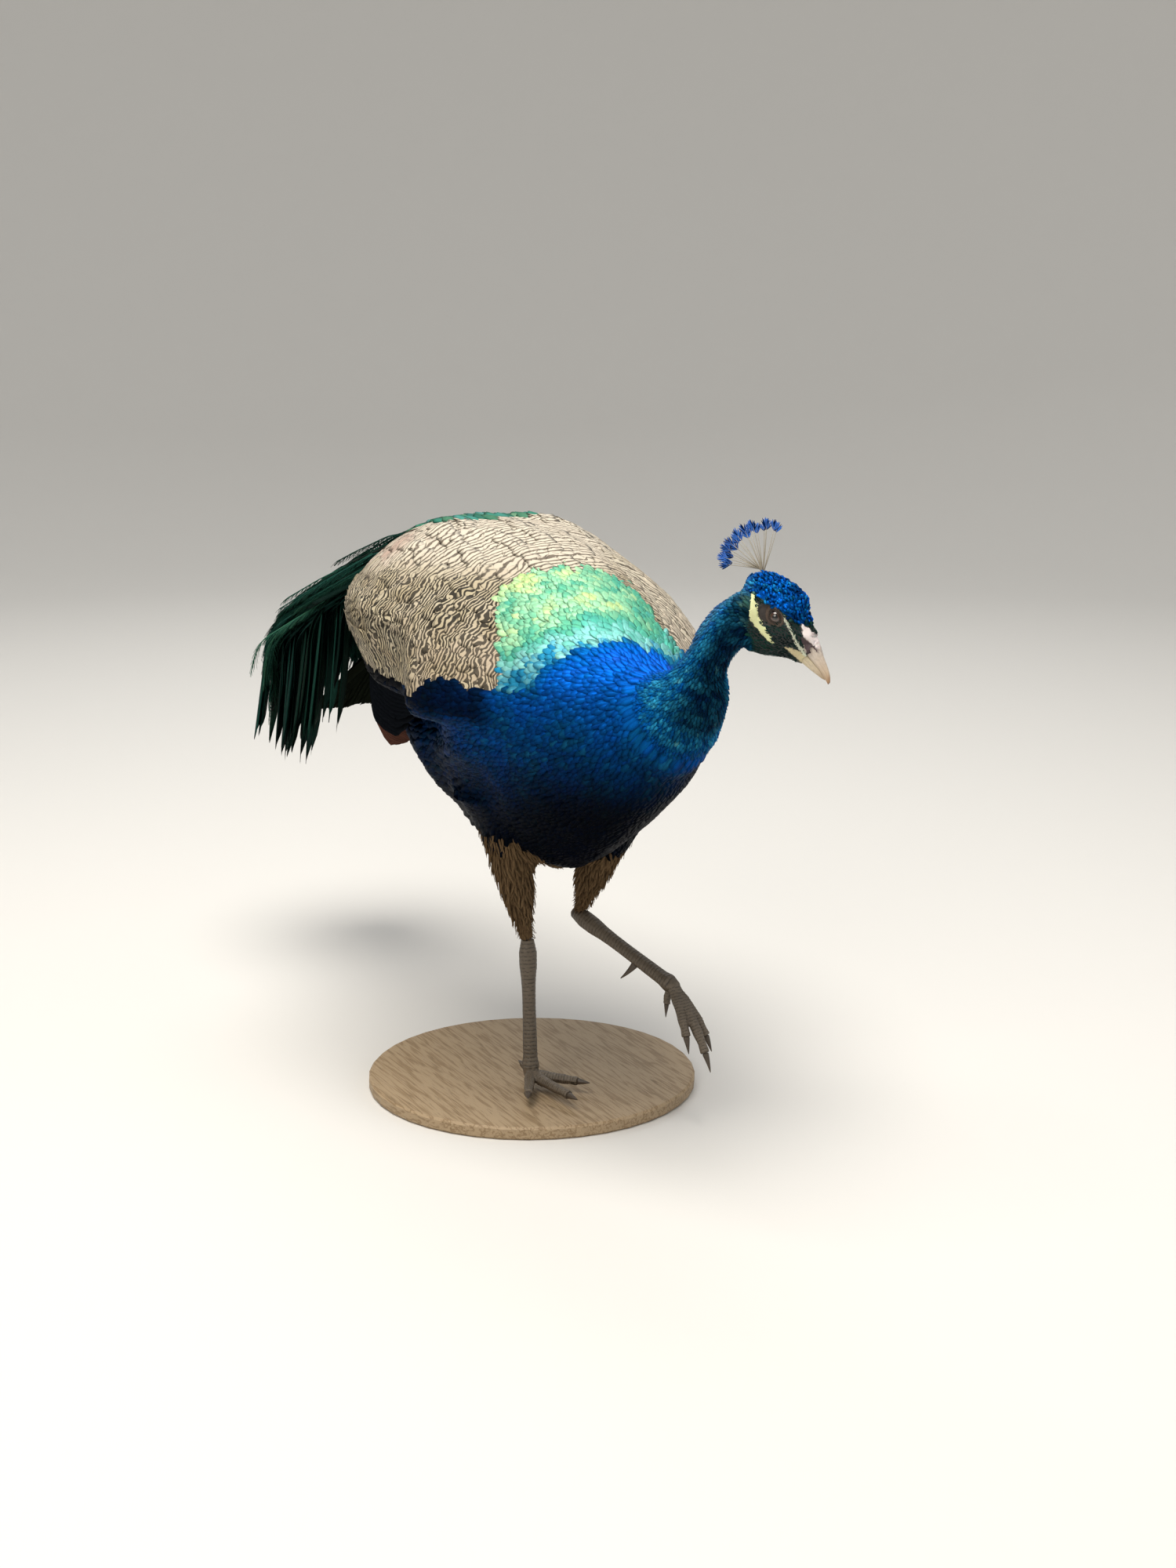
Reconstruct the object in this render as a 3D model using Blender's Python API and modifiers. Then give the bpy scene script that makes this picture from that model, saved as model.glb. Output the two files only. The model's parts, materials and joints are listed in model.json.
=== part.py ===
"""A peacock (Indian peafowl cock) at life size, in mid-stride on a plain display base.

Metres, +Z up. The bird faces -Y, so its left side is towards +X. It stands on its right foot
and swings the left one forward, with its neck low and its head turned to its left. The long
train is moulted: short soft covert feathers arch over the tail and droop behind it.

Every outline of the bird is written from the sole of the standing foot: "forward" is along -Y,
"left" is measured from the bird's middle plane, and "height" from that sole. The whole bird
hangs on one empty, which sets it on the base.
"""

import math

import bmesh
import bpy
import numpy as np
from mathutils import Euler, Matrix, Vector

# Driving dimensions
MIDDLE_X = 0.030  # the bird's middle plane, to the left of its standing foot
GAP = 0.0003  # clearance between pieces that meet
TRUNK_GAP = 0.0006  # clearance of what is fitted round the trunk
BASE_RADIUS = 0.150
BASE_THICKNESS = 0.012
BASE_EDGE = 0.002
BASE_CENTRE = (0.022, 0.040)  # under the bird's weight, from the standing sole

EYE_RADIUS = 0.0066
TARSUS_RADIUS = 0.0062
TOE_RADIUS = 0.0052
CREST_FEATHERS = 20

# Trunk sections: forward, centre height, half width, rise above and drop below the centre,
# and keel (2 is round below, less narrows to a V)
TRUNK = [
    (-0.292, 0.438, 0.020, 0.020, 0.020, 2.0),
    (-0.270, 0.434, 0.046, 0.040, 0.044, 2.0),
    (-0.215, 0.416, 0.081, 0.075, 0.094, 1.9),
    (-0.140, 0.388, 0.110, 0.114, 0.140, 1.8),
    (-0.060, 0.365, 0.121, 0.136, 0.160, 1.75),
    (0.020, 0.351, 0.118, 0.132, 0.147, 1.65),
    (0.080, 0.346, 0.103, 0.114, 0.116, 1.55),
    (0.130, 0.344, 0.079, 0.086, 0.081, 1.6),
    (0.170, 0.344, 0.052, 0.056, 0.051, 1.8),
    (0.192, 0.345, 0.025, 0.026, 0.026, 2.0),
]
# Where the trunk is parted into rump, belly and breast, as forward distances
RUMP_TO_BELLY = -0.185
BELLY_TO_BREAST = 0.048

# Neck sections: forward, left, height, side radius, front-to-back radius
NECK = [
    (0.085, 0.002, 0.352, 0.070, 0.076),
    (0.135, 0.004, 0.356, 0.058, 0.064),
    (0.180, 0.008, 0.364, 0.044, 0.048),
    (0.212, 0.013, 0.386, 0.030, 0.032),
    (0.230, 0.018, 0.414, 0.0205, 0.022),
    (0.241, 0.026, 0.440, 0.0175, 0.019),
    (0.252, 0.036, 0.460, 0.0170, 0.018),
    (0.264, 0.046, 0.468, 0.0140, 0.015),
]
NECK_PARTS = ("neck_lower", "neck_upper")
NECK_YAW = math.radians(32)  # how far the head end of the neck turns to the bird's left

# Head: its middle between the eyes, and how it is turned
HEAD_MIDDLE = (0.2705, 0.0595, 0.4565)  # forward, left, height
HEAD_YAW, HEAD_PITCH, HEAD_ROLL = math.radians(32), math.radians(-37), math.radians(14)
# Head sections along its own axis: forward, half width, rise, drop, shift up
HEAD = [
    (-0.0380, 0.0060, 0.0060, 0.0060, 0.003),
    (-0.0345, 0.0120, 0.0130, 0.0140, 0.002),
    (-0.0230, 0.0175, 0.0210, 0.0225, 0.000),
    (-0.0080, 0.0195, 0.0242, 0.0265, 0.000),
    (0.0060, 0.0190, 0.0240, 0.0260, 0.000),
    (0.0180, 0.0165, 0.0205, 0.0220, 0.000),
    (0.0290, 0.0125, 0.0150, 0.0165, -0.001),
    (0.0370, 0.0085, 0.0090, 0.0110, -0.002),
]
EYE_SEAT = (0.0010, 0.0142, 0.0035)  # forward, sideways, up in the head
# Bill sections: forward, half width, rise, drop, shift up; the upper half is hooked at the tip
BILL_UPPER = [
    (0.0240, 0.0082, 0.0100, 0.0020, 0.0000),
    (0.0340, 0.0078, 0.0094, 0.0020, -0.0010),
    (0.0430, 0.0066, 0.0080, 0.0020, -0.0020),
    (0.0520, 0.0050, 0.0062, 0.0020, -0.0036),
    (0.0600, 0.0034, 0.0045, 0.0022, -0.0060),
    (0.0660, 0.0018, 0.0024, 0.0022, -0.0092),
    (0.0685, 0.0008, 0.0010, 0.0012, -0.0118),
]
BILL_LOWER = [
    (0.0220, 0.0076, 0.0016, 0.0072, -0.0026),
    (0.0320, 0.0068, 0.0016, 0.0064, -0.0036),
    (0.0430, 0.0054, 0.0015, 0.0050, -0.0048),
    (0.0530, 0.0038, 0.0014, 0.0034, -0.0064),
    (0.0610, 0.0018, 0.0010, 0.0016, -0.0084),
]
CREST_ROOT = (-0.0350, 0.0, 0.0155)  # forward, sideways, up in the head
CREST_LENGTH = (0.0220, 0.0400)  # the rearmost and the foremost feather
CREST_LEAN = (math.radians(108), math.radians(30))  # back from the head's own up
CREST_SPREAD = math.radians(17)
CREST_SHAFT = 0.00042
CREST_TIP = (0.0075, 0.0046)  # length and width of the fan at each tip

# Folded wing, coverts: forward, out, height, half span, half thickness, lean (degrees)
COVERTS = [
    (0.096, 0.062, 0.386, 0.026, 0.014, 40),
    (0.074, 0.076, 0.391, 0.046, 0.022, 42),
    (0.030, 0.086, 0.403, 0.070, 0.031, 44),
    (-0.025, 0.091, 0.416, 0.090, 0.038, 45),
    (-0.090, 0.093, 0.428, 0.097, 0.040, 45),
    (-0.160, 0.084, 0.431, 0.090, 0.037, 43),
    (-0.222, 0.064, 0.434, 0.064, 0.030, 41),
    (-0.266, 0.048, 0.437, 0.032, 0.014, 38),
]
# Flight feathers under the coverts' lower edge, in the same measures
SECONDARIES = [
    (0.010, 0.108, 0.350, 0.014, 0.006, 82),
    (-0.040, 0.113, 0.346, 0.026, 0.010, 84),
    (-0.100, 0.113, 0.342, 0.034, 0.011, 82),
    (-0.170, 0.101, 0.347, 0.034, 0.011, 76),
    (-0.230, 0.078, 0.361, 0.028, 0.008, 68),
    (-0.285, 0.058, 0.374, 0.014, 0.005, 60),
]
PRIMARIES = [
    (-0.060, 0.100, 0.302, 0.006, 0.0040, 74),
    (-0.110, 0.101, 0.294, 0.011, 0.0055, 72),
    (-0.170, 0.092, 0.298, 0.013, 0.0055, 68),
    (-0.230, 0.074, 0.311, 0.011, 0.0045, 62),
    (-0.285, 0.054, 0.326, 0.006, 0.0030, 58),
]

# Short train over the tail: forward, height, half width, half thickness, droop of its sides
TRAIN = [
    (-0.236, 0.460, 0.048, 0.020, 0.016),
    (-0.290, 0.452, 0.064, 0.021, 0.030),
    (-0.350, 0.433, 0.078, 0.021, 0.044),
    (-0.415, 0.410, 0.090, 0.020, 0.054),
    (-0.480, 0.384, 0.096, 0.018, 0.058),
    (-0.535, 0.354, 0.090, 0.015, 0.054),
    (-0.570, 0.322, 0.074, 0.011, 0.044),
    (-0.590, 0.294, 0.052, 0.007, 0.028),
]
# Drooping ends of the train: left of the middle plane, forward start, start height,
# how far back and down the end is, half width
TRAIN_LOCKS = [
    (-0.096, -0.385, 0.366, 0.060, 0.130, 0.015),
    (-0.072, -0.430, 0.360, 0.092, 0.145, 0.017),
    (-0.040, -0.478, 0.352, 0.108, 0.140, 0.018),
    (-0.006, -0.506, 0.342, 0.112, 0.118, 0.019),
    (0.030, -0.500, 0.344, 0.116, 0.132, 0.019),
    (0.064, -0.462, 0.350, 0.100, 0.146, 0.018),
    (0.092, -0.410, 0.362, 0.074, 0.138, 0.016),
]
LOCK_THICKNESS = 0.0045
# Tail quills, a fan under the train: forward, height, half width, half thickness
TAIL_FAN = [
    (-0.262, 0.402, 0.034, 0.012),
    (-0.330, 0.364, 0.050, 0.011),
    (-0.400, 0.327, 0.054, 0.009),
    (-0.460, 0.293, 0.052, 0.007),
    (-0.510, 0.263, 0.042, 0.005),
    (-0.540, 0.243, 0.024, 0.003),
]

# Legs: forward, left, height of each joint, from the standing sole
RIGHT_KNEE, RIGHT_HEEL = (-0.002, -0.058, 0.285), (-0.010, -0.0260, 0.129)
RIGHT_FOOT = (0.000, -0.0285, 0.013)
LEFT_KNEE, LEFT_HEEL = (0.036, 0.036, 0.262), (-0.034, 0.038, 0.143)
LEFT_FOOT = (0.086, 0.070, 0.1045)
# The standing leg's thigh flares into the flank
THIGH_RADII = {
    "right": (0.052, 0.034, 0.0190, 0.0124, 0.0104),
    "left": (0.034, 0.026, 0.0185, 0.0124, 0.0104),
}
# Toes: angle from straight ahead (positive to the bird's own inner side), length, claw length
TOES = {
    "inner": (36, 0.046, 0.012),
    "middle": (2, 0.064, 0.014),
    "outer": (-32, 0.050, 0.012),
    "hind": (172, 0.020, 0.010),
}
SPUR_LENGTH, SPUR_RADIUS = 0.020, 0.0042

COLOURS = {
    "royal_blue": ((0.010, 0.065, 0.300), 0.38, 0.30),
    "neck_blue": ((0.006, 0.050, 0.110), 0.38, 0.30),
    "black_blue": ((0.006, 0.010, 0.020), 0.45, 0.10),
    "barred_buff": ((0.420, 0.330, 0.210), 0.70, 0.00),
    "flight_black": ((0.012, 0.012, 0.016), 0.55, 0.00),
    "chestnut": ((0.270, 0.110, 0.050), 0.60, 0.00),
    "train_green": ((0.008, 0.035, 0.022), 0.45, 0.25),
    "tail_brown": ((0.045, 0.032, 0.022), 0.65, 0.00),
    "thigh_buff": ((0.240, 0.170, 0.105), 0.75, 0.00),
    "leg_horn": ((0.110, 0.092, 0.070), 0.55, 0.00),
    "claw_horn": ((0.050, 0.042, 0.036), 0.40, 0.00),
    "bill_horn": ((0.420, 0.360, 0.300), 0.40, 0.00),
    "eye_dark": ((0.010, 0.006, 0.004), 0.08, 0.00),
    "base_board": ((0.300, 0.290, 0.270), 0.60, 0.00),
}


def clear_scene():
    for obj in list(bpy.data.objects):
        bpy.data.objects.remove(obj)


def new_collection(name):
    made = bpy.data.collections.new(name)
    bpy.context.scene.collection.children.link(made)
    return made


def material(name):
    made = bpy.data.materials.get(name)
    if made is None:
        colour, roughness, metallic = COLOURS[name]
        made = bpy.data.materials.new(name)
        made.use_nodes = True
        shader = made.node_tree.nodes["Principled BSDF"]
        shader.inputs["Base Color"].default_value = (*colour, 1)
        shader.inputs["Roughness"].default_value = roughness
        shader.inputs["Metallic"].default_value = metallic
    return made


def add_object(name, mesh, colour, smooth=50):
    """Puts a mesh in the bird's collection, riding on the bird's empty."""
    mesh.materials.append(material(colour))
    mesh.shade_smooth()
    mesh.set_sharp_from_angle(angle=math.radians(smooth))
    obj = bpy.data.objects.new(name, mesh)
    PEACOCK.objects.link(obj)
    obj.parent = BIRD
    return obj


def at(forward, left, height):
    """A point of the bird, from the sole of its standing foot."""
    return Vector((MIDDLE_X + left, -forward, height))


def spline(rows, count):
    """count rows read from a smooth curve (Catmull-Rom) through the given rows, evenly by length."""
    rows = np.array(rows, float)
    ends = np.vstack([2 * rows[0] - rows[1], rows, 2 * rows[-1] - rows[-2]])
    fine = []
    for a, b, c, d in zip(ends, ends[1:], ends[2:], ends[3:]):
        t = np.linspace(0, 1, 24, endpoint=False)[:, None]
        fine.append(
            0.5 * (2 * b + (c - a) * t + (2 * a - 5 * b + 4 * c - d) * t**2 + (3 * b - a - 3 * c + d) * t**3)
        )
    fine = np.vstack([*fine, rows[-1]])
    length = np.concatenate([[0], np.cumsum(np.linalg.norm(np.diff(fine, axis=0), axis=1))])
    wanted = np.linspace(0, length[-1], count)
    return np.stack([np.interp(wanted, length, column) for column in fine.T], axis=1)


def egg(half_width, rise, drop, sides, keel=2.0):
    """Offsets (sideways, up) round a section; a keel under 2 narrows its lower half to a V."""
    angles = np.arange(sides) * 2 * math.pi / sides
    cosine, sine = np.cos(angles), np.sin(angles)
    power = np.where(sine < 0, 2 / keel, 1.0)
    side = half_width * np.sign(cosine) * np.abs(cosine) ** power
    up = np.where(sine < 0, drop, rise) * np.sign(sine) * np.abs(sine) ** power
    return np.stack([side, up], axis=1)


def loft(rings):
    """A closed mesh through rings of points, each with the same number of points."""
    sides = len(rings[0])
    points = [tuple(p) for ring in rings for p in ring]
    faces = []
    for i in range(len(rings) - 1):
        for j in range(sides):
            k = (j + 1) % sides
            faces.append((i * sides + j, i * sides + k, (i + 1) * sides + k, (i + 1) * sides + j))
    faces.append(tuple(range(sides))[::-1])
    faces.append(tuple((len(rings) - 1) * sides + j for j in range(sides)))
    mesh = bpy.data.meshes.new("loft")
    mesh.from_pydata(points, [], faces)
    bm = bmesh.new()
    bm.from_mesh(mesh)
    bmesh.ops.recalc_face_normals(bm, faces=bm.faces)
    if bm.calc_volume(signed=True) < 0:
        bmesh.ops.reverse_faces(bm, faces=bm.faces)
    bm.to_mesh(mesh)
    bm.free()
    return mesh


def upright_ring(forward, left, height, offsets, lean=0.0):
    """A section standing across the bird, its offsets leaned outwards by an angle."""
    cosine, sine = math.cos(lean), math.sin(lean)
    ring = []
    for side, up in offsets:
        ring.append(at(forward, left + side * cosine - up * sine, height + side * sine + up * cosine))
    return ring


def tube(path, radii, sides=10, floor=None):
    """A closed mesh along points, with a radius at each, flattened where it meets a floor."""
    path = [Vector(p) for p in path]
    rings = []
    for i, point in enumerate(path):
        along = (path[min(i + 1, len(path) - 1)] - path[max(i - 1, 0)]).normalized()
        side = along.cross(Vector((0, 0, 1)))
        if side.length < 0.2:
            side = along.cross(Vector((0, 1, 0)))
        side.normalize()
        over = side.cross(along)
        ring = []
        for j in range(sides):
            angle = 2 * math.pi * j / sides
            ring.append(point + float(radii[i]) * (math.cos(angle) * side + math.sin(angle) * over))
            if floor is not None:
                ring[-1].z = max(ring[-1].z, floor)
        rings.append(ring)
    return loft(rings)


def cutter_from(mesh, name, grown=0.0):
    """A hidden cutter, optionally grown outwards along its normals."""
    bm = bmesh.new()
    bm.from_mesh(mesh)
    bm.normal_update()
    shifts = [(v, v.normal.copy()) for v in bm.verts]
    for vertex, normal in shifts:
        vertex.co += normal * grown
    made = bpy.data.meshes.new(name)
    bm.to_mesh(made)
    bm.free()
    cutter = bpy.data.objects.new(name, made)
    CUTTERS.objects.link(cutter)
    cutter.parent = BIRD
    cutter.hide_render = True
    cutter.display_type = "WIRE"
    return cutter


def boolean(obj, operation, cutter):
    modifier = obj.modifiers.new(operation.lower(), "BOOLEAN")
    modifier.operation = operation
    modifier.object = cutter
    modifier.solver = "EXACT"


def trim(obj, neighbours, trunk=None):
    """Cuts obj back from its neighbours, and from the whole trunk, leaving a gap between them.

    The cutters are grown from the neighbours' own uncut lofts, which are the cleanest meshes.
    """
    if trunk is not None:
        boolean(obj, "DIFFERENCE", cutter_from(trunk, f"{obj.name}_by_trunk", TRUNK_GAP))
    for neighbour in neighbours:
        cutter = cutter_from(neighbour.data, f"{obj.name}_by_{neighbour.name}", GAP)
        boolean(obj, "DIFFERENCE", cutter)


def join(obj, meshes):
    """Adds meshes to obj as one body."""
    for i, mesh in enumerate(meshes):
        boolean(obj, "UNION", cutter_from(mesh, f"{obj.name}_with_{i}"))


def make_trunk():
    """Rump, belly and breast, three lengths of one loft with a thin gap between them.

    Returns the mesh of the whole loft, for the cuts of the pieces that are fitted round it.
    """
    rows = spline(TRUNK, 21)
    sides = 24

    def section(forward):
        height, *shape = [np.interp(forward, rows[:, 0], rows[:, i]) for i in range(1, 6)]
        return upright_ring(forward, 0, height, egg(*shape[:3], sides, shape[3]))

    spans = {
        "rump": (rows[0][0], RUMP_TO_BELLY - GAP / 2),
        "belly": (RUMP_TO_BELLY + GAP / 2, BELLY_TO_BREAST - GAP / 2),
        "breast": (BELLY_TO_BREAST + GAP / 2, rows[-1][0]),
    }
    colours = {"rump": "train_green", "belly": "black_blue", "breast": "royal_blue"}
    for name, (start, end) in spans.items():
        inside = [f for f in rows[:, 0] if start + 0.002 < f < end - 0.002]
        add_object(name, loft([section(forward) for forward in [start, *inside, end]]), colours[name])
    return loft([section(forward) for forward in rows[:, 0]])


def neck_rings(start, end, count):
    """Rings of the neck between two shares of its length, square to its bend."""
    rows = spline(NECK, 49)
    share = np.linspace(0, 1, len(rows))
    rings = []
    for t in np.linspace(start, end, count):
        forward, left, height, side_radius, depth_radius = [
            np.interp(t, share, rows[:, i]) for i in range(5)
        ]
        before = [np.interp(t - 0.02, share, rows[:, i]) for i in range(3)]
        after = [np.interp(t + 0.02, share, rows[:, i]) for i in range(3)]
        along = (at(*after) - at(*before)).normalized()
        yaw = NECK_YAW * t
        side = Vector((math.cos(yaw), math.sin(yaw), 0))
        side = (side - side.dot(along) * along).normalized()
        over = along.cross(side)
        ring = [
            at(forward, left, height) + s * side + u * over
            for s, u in egg(side_radius, depth_radius, depth_radius, 14).tolist()
        ]
        rings.append(ring)
    return rings


def make_neck(trunk, head):
    """Two lengths of neck, the lower one fitted round the breast and the upper one to the head."""
    middle = 0.60
    slit = 0.0012
    lower = add_object(NECK_PARTS[0], loft(neck_rings(0, middle - slit, 8)), "neck_blue")
    trim(lower, [], trunk)
    upper = add_object(NECK_PARTS[1], loft(neck_rings(middle + slit, 1, 9)), "neck_blue")
    trim(upper, [head])
    return lower, upper


def head_frame():
    """Turns points of the head (forward, sideways to its left, up) into points of the bird."""
    forward, left, height = HEAD_MIDDLE
    # The head's own axes are -Y forward, +X left and +Z up before it is turned.
    turn = (
        Matrix.Rotation(HEAD_YAW, 3, "Z")
        @ Matrix.Rotation(-HEAD_PITCH, 3, "X")
        @ Matrix.Rotation(HEAD_ROLL, 3, "Y")
    )
    middle = Vector((MIDDLE_X + left, -forward, height))
    return lambda ahead, side, up: middle + turn @ Vector((float(side), -float(ahead), float(up)))


def head_loft(rows, count, sides, keel=2.0):
    place = head_frame()
    rings = []
    for ahead, width, rise, drop, shift in spline(rows, count):
        rings.append([place(ahead, s, u + shift) for s, u in egg(width, rise, drop, sides, keel).tolist()])
    return loft(rings)


def ball(centre, radius, sides=14, rings=8):
    mesh = bpy.data.meshes.new("ball")
    bm = bmesh.new()
    bmesh.ops.create_uvsphere(bm, u_segments=sides, v_segments=rings, radius=radius)
    bm.transform(Matrix.Translation(centre))
    bm.to_mesh(mesh)
    bm.free()
    return mesh


def make_head():
    """The head, its two eyes in their sockets and the two halves of the bill."""
    place = head_frame()
    ahead, side, up = EYE_SEAT
    eyes = []
    for name, way in (("eye_left", 1), ("eye_right", -1)):
        eyes.append(add_object(name, ball(place(ahead, way * side, up), EYE_RADIUS), "eye_dark"))
    lower = add_object("bill_lower", head_loft(BILL_LOWER, 8, 10), "bill_horn")
    upper = add_object("bill_upper", head_loft(BILL_UPPER, 10, 12), "bill_horn")
    trim(lower, [upper])
    head = add_object("head", head_loft(HEAD, 12, 18), "neck_blue")
    trim(head, [*eyes, lower, upper])
    return head


def make_crest(head):
    """Bare-shafted crest feathers, each with a small fan at its tip, on one root pad."""
    place = head_frame()
    ahead, _, up = CREST_ROOT
    crest = add_object("crest", ball(place(*CREST_ROOT), 0.0062, 8, 5), "royal_blue")
    shafts = []
    for i in range(CREST_FEATHERS):
        share = i / (CREST_FEATHERS - 1)
        lean = CREST_LEAN[0] + (CREST_LEAN[1] - CREST_LEAN[0]) * share
        spread = CREST_SPREAD * math.sin(2.4 * i)
        length = CREST_LENGTH[0] + (CREST_LENGTH[1] - CREST_LENGTH[0]) * share**0.8
        way = Vector((-math.sin(lean), math.sin(spread), math.cos(lean) * math.cos(spread)))
        across = Vector((way.z, 0, -way.x)).normalized()
        root = Vector((ahead, 0, up))
        stem = root + way * length
        tip_length, tip_width = CREST_TIP
        rings = []
        for reach, width in (
            (0.0, CREST_SHAFT),
            (length, CREST_SHAFT),
            (length + 0.35 * tip_length, 0.35 * tip_width),
            (length + tip_length, 0.5 * tip_width),
            (length + 1.25 * tip_length, 0.15 * tip_width),
        ):
            centre = root + way * reach
            thin = way.cross(across)
            ring = []
            for s, u in ((1, -0.6), (0, 1.2), (-1, -0.6)):
                ring.append(place(*(centre + across * s * width + thin * u * CREST_SHAFT)))
            rings.append(ring)
        shafts.append(loft(rings))
    join(crest, shafts)
    trim(crest, [head])
    return crest


def wing_part(name, rows, side, colour, count, sides):
    """One layer of a folded wing: flattened sections that lean over the trunk."""
    rings = []
    for forward, out, height, span, thick, lean in spline(rows, count):
        offsets = egg(thick, span, span, sides)
        ring = upright_ring(forward, 0, 0, offsets, math.radians(90 - lean))
        shift = Vector((side * out, 0, height))
        ring = [Vector((MIDDLE_X + side * (p.x - MIDDLE_X), p.y, p.z)) + shift for p in ring]
        rings.append(ring)
    return add_object(name, loft(rings), colour)


def make_wings(trunk):
    """Folded wings: coverts over secondaries over primaries, each fitted round what it covers."""
    made = []
    for name, side in (("right", -1), ("left", 1)):
        coverts = wing_part(f"wing_{name}_coverts", COVERTS, side, "barred_buff", 14, 16)
        trim(coverts, [], trunk)
        secondaries = wing_part(f"wing_{name}_secondaries", SECONDARIES, side, "flight_black", 9, 10)
        trim(secondaries, [coverts], trunk)
        primaries = wing_part(f"wing_{name}_primaries", PRIMARIES, side, "chestnut", 8, 8)
        trim(primaries, [secondaries], trunk)
        made.append(coverts)
    return made


def lock_mesh(left, start, height, back, down, half_width):
    """A tapered lock of feathers that curves back and down from the end of the train."""
    rings = []
    for t in np.linspace(0, 1, 8).tolist():
        turn = t * math.pi / 2
        width = half_width * (0.75 + 0.45 * math.sin(math.pi * t)) * (1 - 0.72 * t**4)
        slope = math.atan2(down * math.sin(turn), back * math.cos(turn) + 1e-3)
        forward = start - back * math.sin(turn)
        level = height - down * (1 - math.cos(turn)) ** 0.9
        rings.append(
            [
                at(forward - u * math.sin(slope), left + s, level + u * math.cos(slope))
                for s, u in egg(width, LOCK_THICKNESS, LOCK_THICKNESS, 6).tolist()
            ]
        )
    return loft(rings)


def make_tail(trunk, coverts):
    """The short train with its drooping ends, and the quills of the tail under it."""
    rings = []
    for forward, height, width, thick, droop in spline(TRAIN, 12):
        offsets = egg(width, thick, thick, 16)
        offsets[:, 1] -= droop * (offsets[:, 0] / width) ** 2
        rings.append(upright_ring(forward, 0, height, offsets))
    train = add_object("train", loft(rings), "train_green")
    join(train, [lock_mesh(*row) for row in TRAIN_LOCKS])
    trim(train, coverts, trunk)
    rings = []
    for forward, height, width, thick in spline(TAIL_FAN, 7):
        offsets = egg(width, thick, thick, 14)
        offsets[:, 1] -= 0.3 * offsets[:, 0] ** 2 / width
        rings.append(upright_ring(forward, 0, height, offsets))
    fan = add_object("tail", loft(rings), "tail_brown")
    trim(fan, [train], trunk)


def make_toe(root, heading, droop, length, radius, floor):
    """Path and radii of a toe: its root arches down and each joint is a slight swelling."""
    path, radii = [], []
    flat = Vector((math.sin(heading), -math.cos(heading), 0))
    for t in np.linspace(0, 1, 8).tolist():
        tilt = droop * (0.75 + 0.25 * t)
        sink = 0.0022 * min(t / 0.22, 1.0)
        path.append(root + length * t * (math.cos(tilt) * flat - Vector((0, 0, math.sin(tilt)))) - Vector((0, 0, sink)))
        radii.append(radius * (1 + 0.12 * math.cos(6 * math.pi * t)) * (1 - 0.32 * t))
        if floor is not None:
            path[-1].z = max(path[-1].z, floor + 0.86 * radii[-1])
    return path, radii


def make_claw(name, path, radius, length, hook, floor):
    """A curved claw that carries on from the end of a toe."""
    way = (path[-1] - path[-2]).normalized()
    curve, radii = [], []
    for t in np.linspace(0, 1, 5).tolist():
        curve.append(path[-1] + way * (GAP + length * t) - Vector((0, 0, hook * length * t * t)))
        radii.append(radius * (0.86 - 0.76 * t**1.2))
    return add_object(name, tube(curve, radii, 7, floor=floor), "claw_horn")


def make_foot(name, root, shank_way, heading, spread, droop, hook, floor):
    """Four toes joined under the end of the shank, with a separate claw on each."""
    inner = -1 if name == "left" else 1
    ankle = [root - shank_way * 0.014, root - shank_way * 0.006, root + shank_way * 0.003]
    foot = add_object(
        f"foot_{name}", tube(ankle, [TARSUS_RADIUS * r for r in (1.02, 1.22, 0.90)], 12), "leg_horn"
    )
    toes = []
    for toe, (angle, length, claw_length) in TOES.items():
        hind = toe == "hind"
        way = heading + inner * math.radians(angle * (1 if hind else spread))
        path, radii = make_toe(
            root + Vector((0, 0, 0.0035 if hind else 0)), way, droop * (1.4 if hind else 1.0), length,
            TOE_RADIUS * (0.78 if hind else 1.0), floor,
        )
        toes.append(tube(path, radii, 7, floor=floor))
        make_claw(f"claw_{name}_{toe}", path, radii[-1], claw_length, hook, floor)
    join(foot, toes)


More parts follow.
